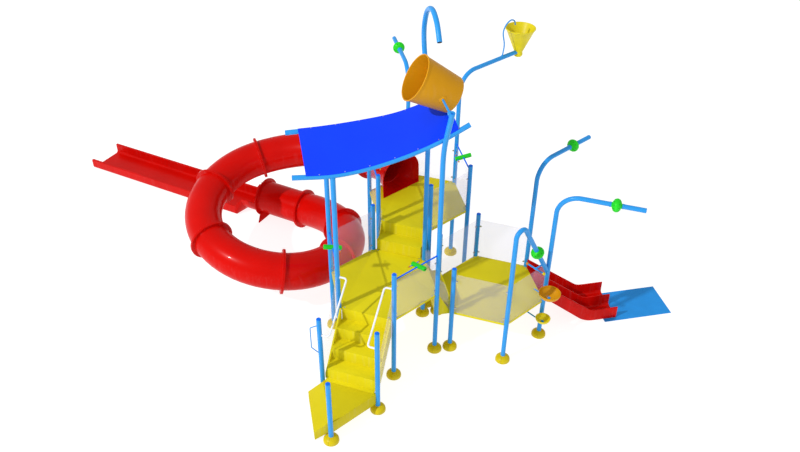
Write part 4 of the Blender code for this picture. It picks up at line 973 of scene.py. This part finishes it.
along = (far_base - near_base).normalized()
across = UP.cross(along)
hub = near_base + along * 0.76 + UP * VALVE_Z
stem = bar(hub, along, ((-0.012, 0.0175), (0.215, 0.0175), (0.22, 0.015)), 24)
half = [(0.196, 0.0165), (0.03, 0.0165), (0.026, 0.025)]
cross_bar = bar(hub, across, [(-s, r) for s, r in half] + half[::-1], 24)
add("valve_stem", [stem, cross_bar], post_paint, VALVE, [VALVE])
knob = ((-0.002, 0.012), (0, 0.024), (0.008, 0.0295), (0.036, 0.0295), (0.046, 0.026), (0.05, 0.016))
grips = (("near", -across, foot_yellow, "toy_yellow"), ("far", across, tip_orange, "bucket_orange"))
for name, way, finish, slot in grips:
    add(f"valve_grip_{name}", bar(hub + way * 0.2, way, knob, 28), finish, VALVE)


# Splash dishes
# Two round dishes, orange above and yellow below, stand out from the arch's far post on short
# arms. Each has a blue drain boss in its middle, and a thin blue rod behind it.
UPPER_DISH = corner(LOWER, 0) + Vector((0.137, -0.304, 1.55))
LOWER_DISH = corner(LOWER, 0) + Vector((0.069, -0.239, 0.75))
ROD = turn(150)
DISH_WALL = 0.014
DISH_FLOOR = 0.02


def dish(name, centre, radius, depth, rod, finish):
    """Round dish for a node, with its arm to the post, its rod and its drain boss."""
    arc = [cos_sin(a) for a in range(62, 5, -8)]
    inner, low = radius - DISH_WALL, depth - DISH_FLOOR
    profile = [(0, -depth), (radius * 0.35, -depth)] + [(radius * c, -depth * s) for c, s in arc]
    profile += [(radius, -0.012), (radius, -0.003), (radius - 0.003, 0), (inner + 0.002, 0), (inner, -0.003)]
    profile += [(inner * c, -low * s) for c, s in reversed(arc)] + [(radius * 0.3, -low), (0, -low)]
    add(f"{name}_bowl", turned(profile, 56, Matrix.Translation(centre)), finish, stands_for=[name])
    start = centre - UP * (depth - 0.006)
    target = Vector((far_base.x, far_base.y, start.z))
    towards = (target - start).normalized()
    inset = radius * 0.25
    length = (target - start).length - POST_R - inset
    arm_profile = ((0, 0.018), (length - 0.012, 0.018), (length - 0.008, 0.03), (length, 0.03))
    boss = ((0, 0.034), (0.008, 0.034), (0.014, 0.028), (0.016, 0.01))
    parts = [bar(start + towards * inset, towards, arm_profile, 20),
             bar(start, ROD, ((radius * 0.2, 0.0155), (rod - 0.004, 0.0155), (rod, 0.012)), 16),
             bar(centre - UP * (low + 0.002), UP, boss, 24)]
    add(f"{name}_arm", parts, post_paint)


dish("upper_dish", UPPER_DISH, 0.235, 0.17, 0.42, bucket_orange)
dish("lower_dish", LOWER_DISH, 0.165, 0.13, 0.5, cone_yellow)


# Tube slide
# A closed slide of red glass-fibre tube runs from a flared hood on the upper deck through one
# full turn. Its lengths are moulded with flanges, which are bolted face to face in pairs, and
# two flat stays carry its low end.
TUBE_R = 0.43
TUBE_WALL = 0.02
TUBE_FACETS = 72
FLANGE_R = 0.515
FLANGE_T = 0.03                 # half the thickness of a bolted pair of flanges
FLANGE_ROOT = 0.012             # radius of the fillet where a flange grows out of the tube
FLANGE_BOLTS = 20
FLANGE_NUT = ((-0.002, 0.013), (0.002, 0.013), (0.0022, 0.008), (0.008, 0.007))
DOOR_IN = 0.47
DOOR_HEADING = 150
DOOR_HALF = 0.56
DOOR_HIGH = 0.93
DOOR_LEAN = 0.03
FLARE = 0.4
FIRST_RUN = 1.11
# Length, angle turned and height of the axis at the end of each bend, from the door down
BENDS = ((3.12, 68, 2.08), (1.41, 47, 1.82), (1.83, 60, 1.49), (1.93, 61.5, 1.14),
         (1.51, 54, 0.92), (1.51, 54.5, 0.72), (1.55, 36.5, 0.52))
EXIT_RUN = 1.24
TUBE_EXIT_Z = BENDS[-1][2]
DOOR_TUBE_Z = UPPER_Z + TUBE_R + 0.006
STAY_SPREAD = 0.52
STAY_HALF = 0.012               # half a stay's thickness
CAD_STEP = 14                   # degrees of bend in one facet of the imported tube
FINER = 3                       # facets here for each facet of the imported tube

slide_red = coloured("slide_red", (0.62, 0.003, 0.001), 0.26, depth=0.12, scale=1.3, grain=160, bump=0.03,
                     marks=0.02, coat=0.06, shine=0.06)


def slide_route():
    """The tube slide's axis: its points, the direction at each, and the indices of the joints."""
    point = UPPER + turn(DOOR_HEADING) * (APOTHEM - DOOR_IN)
    path, lengths, joints = [point], [0.0], []
    heading = DOOR_HEADING
    for length, bend, _ in ((FIRST_RUN, 0, 0), *BENDS, (EXIT_RUN, 0, 0)):
        steps = max(4, round(bend / CAD_STEP)) * FINER
        for i in range(steps):
            point = point + turn(heading + bend / steps / 2) * (length / steps)
            heading += bend / steps
            path.append(point)
            lengths.append(lengths[-1] + length / steps)
        joints.append(len(path) - 1)
    keys = [(-0.5, DOOR_TUBE_Z), (0, DOOR_TUBE_Z), (0.6, DOOR_TUBE_Z)]
    keys += [(lengths[j], height) for j, (_, _, height) in zip(joints[1:], BENDS)]
    keys += [(lengths[-1], TUBE_EXIT_Z), (lengths[-1] + 0.5, TUBE_EXIT_Z)]
    for k, s in enumerate(lengths):
        path[k] = path[k] + UP * (height_at(keys, s) if k < joints[-2] else TUBE_EXIT_Z)
    ahead = [turn(DOOR_HEADING)]
    ahead += [(q - p).normalized() for p, q in zip(path, path[2:])]
    ahead.append(turn(heading))
    return path, ahead, joints


def loft_shell(outer, inner):
    """Open-ended shell between outer and inner loops, with ring-shaped ends."""
    n, m = len(outer[0]), len(outer)
    points = [p for loop in outer + inner for p in loop]
    rows = [range(i * n, i * n + n) for i in range(2 * m)]
    pairs = [*zip(rows[:m], rows[1:m]), *zip(rows[m:], rows[m + 1:])]
    pairs += [(rows[0], rows[m]), (rows[m - 1], rows[-1])]
    return points, [face for pair in pairs for face in quads_between(*pair)]


def ring(point, ahead, radius):
    """Ring round a point of the tube's axis, from its right-hand side upwards."""
    side = ahead.cross(UP).normalized()
    return circle(point, side, side.cross(ahead), radius, TUBE_FACETS)


def tube_rings(path, ahead, joints, first, last):
    """Outer and inner rings of one length of tube, with its half of each pair of flanges."""
    root = [(FLANGE_T + FLANGE_ROOT, TUBE_R), (FLANGE_T + 0.003, TUBE_R + 0.003),
            (FLANGE_T, TUBE_R + FLANGE_ROOT)]
    edge = [(FLANGE_T, FLANGE_R - 0.003), (FLANGE_T - 0.003, FLANGE_R), (0.003, FLANGE_R),
            (0.0008, FLANGE_R - 0.003), (0.0006, FLANGE_R - 0.012)]
    before = [(-s, r) for s, r in root + edge]
    after = (root + edge)[::-1]
    outer, inner = [], []
    for i in range(first, last + 1):
        steps = [(0, TUBE_R)]
        if i in joints:
            steps = (before if i > first else []) + (after if i < last else [])
        for along, radius in steps:
            point = path[i] + ahead[i] * along
            outer.append(ring(point, ahead[i], radius))
            inner.append(ring(point, ahead[i], TUBE_R - TUBE_WALL))
    return outer, inner


def flange_bolts(point, ahead):
    """Ring of bolts with their nuts through a pair of flanges."""
    side = ahead.cross(UP).normalized()
    up = side.cross(ahead)
    shapes = []
    for k in range(FLANGE_BOLTS):
        a = 2 * math.pi * (k + 0.5) / FLANGE_BOLTS
        at = point + (side * math.cos(a) + up * math.sin(a)) * ((TUBE_R + FLANGE_R) / 2 + 0.006)
        shapes += [bar(at + way * FLANGE_T, way, FLANGE_NUT, 6) for way in (ahead, -ahead)]
    return shapes


def doorway_ring(point, ahead, half, low, high, share, radius):
    """Arch-shaped ring with a flat foot, changed by a share towards a circle."""
    side = ahead.cross(UP).normalized()
    points = []
    for j in range(TUBE_FACETS):
        a = 2 * math.pi * j / TUBE_FACETS
        c, s = math.cos(a), math.sin(a)
        x, z = half * c, high * s
        if s < 0:
            square = 1 / max(abs(c), abs(s))
            x, z = half * c * square, low * s * square
        lean = DOOR_LEAN * (1 - share) * (z + low) / (high + low)
        arch = side * x + UP * z + ahead * lean
        circle = (side * c + UP * s) * radius
        points.append(point + arch.lerp(circle, share))
    return points


def entrance_rings(door, ahead):
    """Outer and inner rings of the flared hood, with a rolled front rim."""
    foot_z = DOOR_TUBE_Z - UPPER_Z - SEAT
    # Share of the change to a circle, distance from the door, and how far the rim is rounded in
    stages = ((0, 0, 0.006), (0, 0.004, 0.001), (0.02, 0.012, 0), (0.12, 0.045, 0), (0.35, 0.1, 0),
              (0.55, 0.165, 0), (0.8, 0.26, 0), (0.94, 0.33, 0), (1, FLARE, 0))
    pair = []
    for wall in (0, TUBE_WALL):
        rings = []
        for share, along, ease in stages:
            inset = wall - ease if wall else ease
            rings.append(doorway_ring(door + ahead * along, ahead, DOOR_HALF - inset, foot_z - inset,
                                      DOOR_HIGH - foot_z - inset, share, TUBE_R - wall))
        pair.append(rings)
    return pair


path, ahead, joints = slide_route()
outer, inner = entrance_rings(path[0], ahead[0])
start = next(i for i, p in enumerate(path) if (p - path[0]).length > FLARE + 0.05)
more_outer, more_inner = tube_rings(path, ahead, joints, start, joints[1])
hood = loft_shell(outer + more_outer, inner + more_inner)
add("slide_hood", hood, slide_red, stands_for=["tube_entrance"])
ends = (*joints[1:7], joints[8])
for k, (first, last) in enumerate(zip(ends, ends[1:])):
    tube = loft_shell(*tube_rings(path, ahead, joints, first, last))
    add(f"slide_tube_{k + 1}", tube, slide_red, stands_for=[f"tube_section_{k + 1}"])
bolts = []
for j in joints:
    bolts += flange_bolts(path[j], ahead[j])
add("slide_flange_bolts", bolts, slide_red)

end, heading = path[-1], ahead[-1]
side = heading.cross(UP)
stays = []
for out in (side, -side):
    root = end + out * 0.3 - UP * 0.25 - heading * 0.02
    tip = end + out * STAY_SPREAD - heading * 0.08
    tip.z = 0.0
    back = root - heading * 0.33
    thick = (UP * 0.3 + out * 0.2).normalized() * STAY_HALF
    heel = tip - heading * 0.02
    stays.append(loft([[root - thick, tip, heel, back - thick],
                       [root + thick, tip + thick * 2, heel + thick * 2, back + thick]]))
add("slide_stays", stays, slide_red, bevel=0.003)


# Exit and run-out
# The tube opens into a short trough, whose end drops and spreads to a long level run-out between
# high sides, where a swimmer comes to a stop. The run-out stands on six round pads.
TRANSITION = 0.66
TROUGH_LEVEL = 0.75             # share of the trough that keeps the tube's shape and level
RUNOUT = 5.13
RUNOUT_HALF = 0.535
RUNOUT_HIGH = 0.29
RUNOUT_RIM = 0.068              # width of the flat top of its walls
RUNOUT_WALL = 0.022
RUNOUT_GROUND = 0.02
QUARTER = [cos_sin(a) for a in range(90, -1, -10)]


def trough_section(half, high, corner_r, wall, rim):
    """Closed outline of an open trough with rounded rims, from its left rim round and back."""
    lip = wall * 0.3

    def run(w, low, r):
        arc = [(-w + r - r * s, low + r - r * c) for c, s in QUARTER]
        return [(-w, high - lip)] + arc + [(-x, z) for x, z in reversed(arc)] + [(w, high - lip)]
    outside = run(half, 0, corner_r)
    inside = run(half - rim, wall, max(corner_r - wall, 0.02))
    left = [(-half + rim - lip, high), (-half + lip, high)]
    right = [(half - lip, high), (half - rim + lip, high)]
    return outside + right + list(reversed(inside)) + left


def place_section(section, point, ahead):
    """Section stood up across the way ahead at a point."""
    across = ahead.cross(UP).normalized()
    return [point + across * x + UP * z for x, z in section]


round_bottom = trough_section(TUBE_R, TUBE_R, TUBE_R - 0.01, RUNOUT_WALL, RUNOUT_WALL)
box = trough_section(RUNOUT_HALF, RUNOUT_HIGH, 0.09, RUNOUT_WALL, RUNOUT_RIM)
a = Vector((end.x, end.y, end.z - TUBE_R)) + heading * SEAT
b = Vector((end.x, end.y, RUNOUT_GROUND)) + heading * TRANSITION
loops = []
for i in range(17):
    t = i / 16
    ease = max(0.0, (t - TROUGH_LEVEL) / (1 - TROUGH_LEVEL))
    mix = [(p[0] + (q[0] - p[0]) * ease, p[1] + (q[1] - p[1]) * ease) for p, q in zip(round_bottom, box)]
    point = a.lerp(b, t)
    point.z = a.z + (b.z - a.z) * ease
    loops.append(place_section(mix, point, heading))
add("exit_trough", loft(loops), slide_red, stands_for=["tube_exit_trough"], sharp=28)
c = b + heading * SEAT
d = c + heading * RUNOUT
flat = [place_section(box, c.lerp(d, i / 12), heading) for i in range(13)]
parts = [loft(flat)]
for share in (0.1, 0.5, 0.9):
    for across in (-0.3, 0.3):
        p = c.lerp(d, share) + side * across
        parts.append(bar(Vector((p.x, p.y, 0)), UP, ((0, 0.05), (0.012, 0.05), (0.03, 0.04)), 20))
add("runout_channel", parts, slide_red, stands_for=["runout_trough"], sharp=28)


# Twin slide and mat
# Two open lanes are moulded side by side in one red slide from the lower deck's edge. They end on
# a soft blue foam mat that is glued flat to the ground.
TWIN_HALF = 0.47
TWIN_SHIFT = 0.07
TWIN_WALL = 0.31
TWIN_FOOT = 1.2
TWIN_END = 1.97
LANE_WALL = 0.035
LANE_FLOOR = 0.02
LANE_CORNER_R = 0.07
MAT_THICK = 0.012
MAT_HALF = 0.4825
MAT_SHIFT = -0.09
MAT_FROM, MAT_TO = 1.66, 3.32   # from the lower deck's edge

out = turn(30)
side = turn(120)
middle = (corner(LOWER, 0) + corner(LOWER, 60)) / 2 + side * TWIN_SHIFT
wall, floor, r = LANE_WALL, LANE_FLOOR, LANE_CORNER_R
w0, w1 = -TWIN_HALF + wall, -wall / 2
arc = [(r * s, r * c) for c, s in QUARTER]
rim = [cos_sin(a)[::-1] for a in range(-90, 91, 30)]
edge = (wall - 0.004) / 2
half = [(-TWIN_HALF, 0)]
half += [(-TWIN_HALF + edge + edge * x, TWIN_WALL - edge + edge * z) for x, z in rim]
half += [(w0 + r - x, floor + r - z) for x, z in arc]
half += [(w1 - r + x, floor + r - z) for x, z in reversed(arc)]
half += [(-wall / 2 + wall / 2 * (1 + x), TWIN_WALL - wall / 2 + wall / 2 * z) for x, z in rim[:4]]
section = half + [(-x, z) for x, z in reversed(half[:-1])]
deck_line = LOWER_Z - floor - 0.04
ground = MAT_THICK + SEAT
profile = fillet([(SEAT, 0, deck_line), (TWIN_FOOT, 0, ground), (TWIN_END, 0, ground)], 0.6, 14)
loops = []
for i, p in enumerate(profile):
    ahead = (profile[min(i + 1, len(profile) - 1)] - profile[max(i - 1, 0)]).normalized()
    if i == 0:
        ahead = Vector((1, 0, 0))
    up = Vector((-ahead.z, 0, ahead.x))
    loops.append([middle + side * x + out * (p.x + up.x * z) + UP * (p.z + up.z * z) for x, z in section])
add("twin_lanes", loft(loops), slide_red, stands_for=["twin_slide"], sharp=28)

mat_blue = coloured("mat_blue", (0.018, 0.3, 0.8), 0.6, depth=0.1, scale=3, grain=120, bump=0.4)
outline = ((MAT_FROM, -MAT_HALF), (MAT_TO, -MAT_HALF), (MAT_TO, MAT_HALF), (MAT_FROM, MAT_HALF))
flat = [[middle + side * MAT_SHIFT + out * d + side * w + UP * z for d, w in outline] for z in (0, MAT_THICK)]
add("splash_mat", loft(flat), mat_blue, stands_for=["landing_mat"], bevel=0.004)


# Studio
# Plain pale floor, white surroundings, a key light where the sun stood and a soft fill, with the
# camera where the photograph was taken from.
LENS = 36.30                    # mm, on a 36 mm sensor
CAMERA_AT = (4.4506, -9.3763, 12.8322)
LOOK_DOWN, LOOK_LEFT, ROLL = (math.radians(a) for a in (36.308, 18.154, -0.591))

FLOOR_HALF = 60
FLOOR_GLOW = 0.86
AMBIENT = 0.62                  # strength of the surroundings as light; the camera sees them white

floor_pale = coloured("floor_pale", (0.3, 0.3, 0.3), 0.9, depth=0.02, scale=0.4, grain=60, bump=0.02, marks=0,
                      shine=0)
shader = floor_pale.node_tree.nodes["Principled BSDF"]
shader.inputs["Emission Color"].default_value = (1, 1, 1, 1)
shader.inputs["Emission Strength"].default_value = FLOOR_GLOW
square = [(x * FLOOR_HALF, y * FLOOR_HALF, -0.002) for x, y in ((-1, -1), (1, -1), (1, 1), (-1, 1))]
floor_mesh = mesh_of("floor", (square, [(0, 1, 2, 3)]), floor_pale)
ground_plane = bpy.data.objects.new("floor", floor_mesh)
bpy.context.collection.objects.link(ground_plane)

world = bpy.data.worlds.new("studio")
world.use_nodes = True
seen = node(world.node_tree, "LightPath").outputs["Is Camera Ray"]
backdrop = node(world.node_tree, "Math", [(0, seen), (1, 1.0 - AMBIENT), (2, AMBIENT)],
                operation="MULTIPLY_ADD")
connect(world.node_tree, world.node_tree.nodes["Background"],
        [("Color", (1.0, 1.0, 1.0, 1)), ("Strength", backdrop.outputs[0])])
bpy.context.scene.world = world

for name, at, size, power in (("key", (-17.8, -21.5, 28.1), 0.9, 10200), ("fill", (12, -8, 10), 9.0, 160)):
    light = bpy.data.lights.new(name, "AREA")
    light.size = size
    light.energy = power
    lamp = bpy.data.objects.new(name, light)
    lamp.location = at
    lamp.rotation_euler = (MIDDLE + UP * 2 - Vector(at)).to_track_quat("-Z", "Y").to_euler()
    bpy.context.collection.objects.link(lamp)

camera = bpy.data.objects.new("camera", bpy.data.cameras.new("camera"))
camera.data.lens = LENS
camera.data.sensor_width = 36
camera.data.clip_end = 200
forward = Vector((-math.sin(LOOK_LEFT) * math.cos(LOOK_DOWN), math.cos(LOOK_LEFT) * math.cos(LOOK_DOWN),
                  -math.sin(LOOK_DOWN)))
level = Vector((math.cos(LOOK_LEFT), math.sin(LOOK_LEFT), 0))
down = forward.cross(level)
right = level * math.cos(ROLL) + down * math.sin(ROLL)
down = down * math.cos(ROLL) - level * math.sin(ROLL)
camera.matrix_world = Matrix.Translation(CAMERA_AT) @ Matrix((right, -down, -forward)).transposed().to_4x4()
bpy.context.collection.objects.link(camera)
bpy.context.scene.camera = camera
bpy.context.scene.view_settings.view_transform = "Standard"
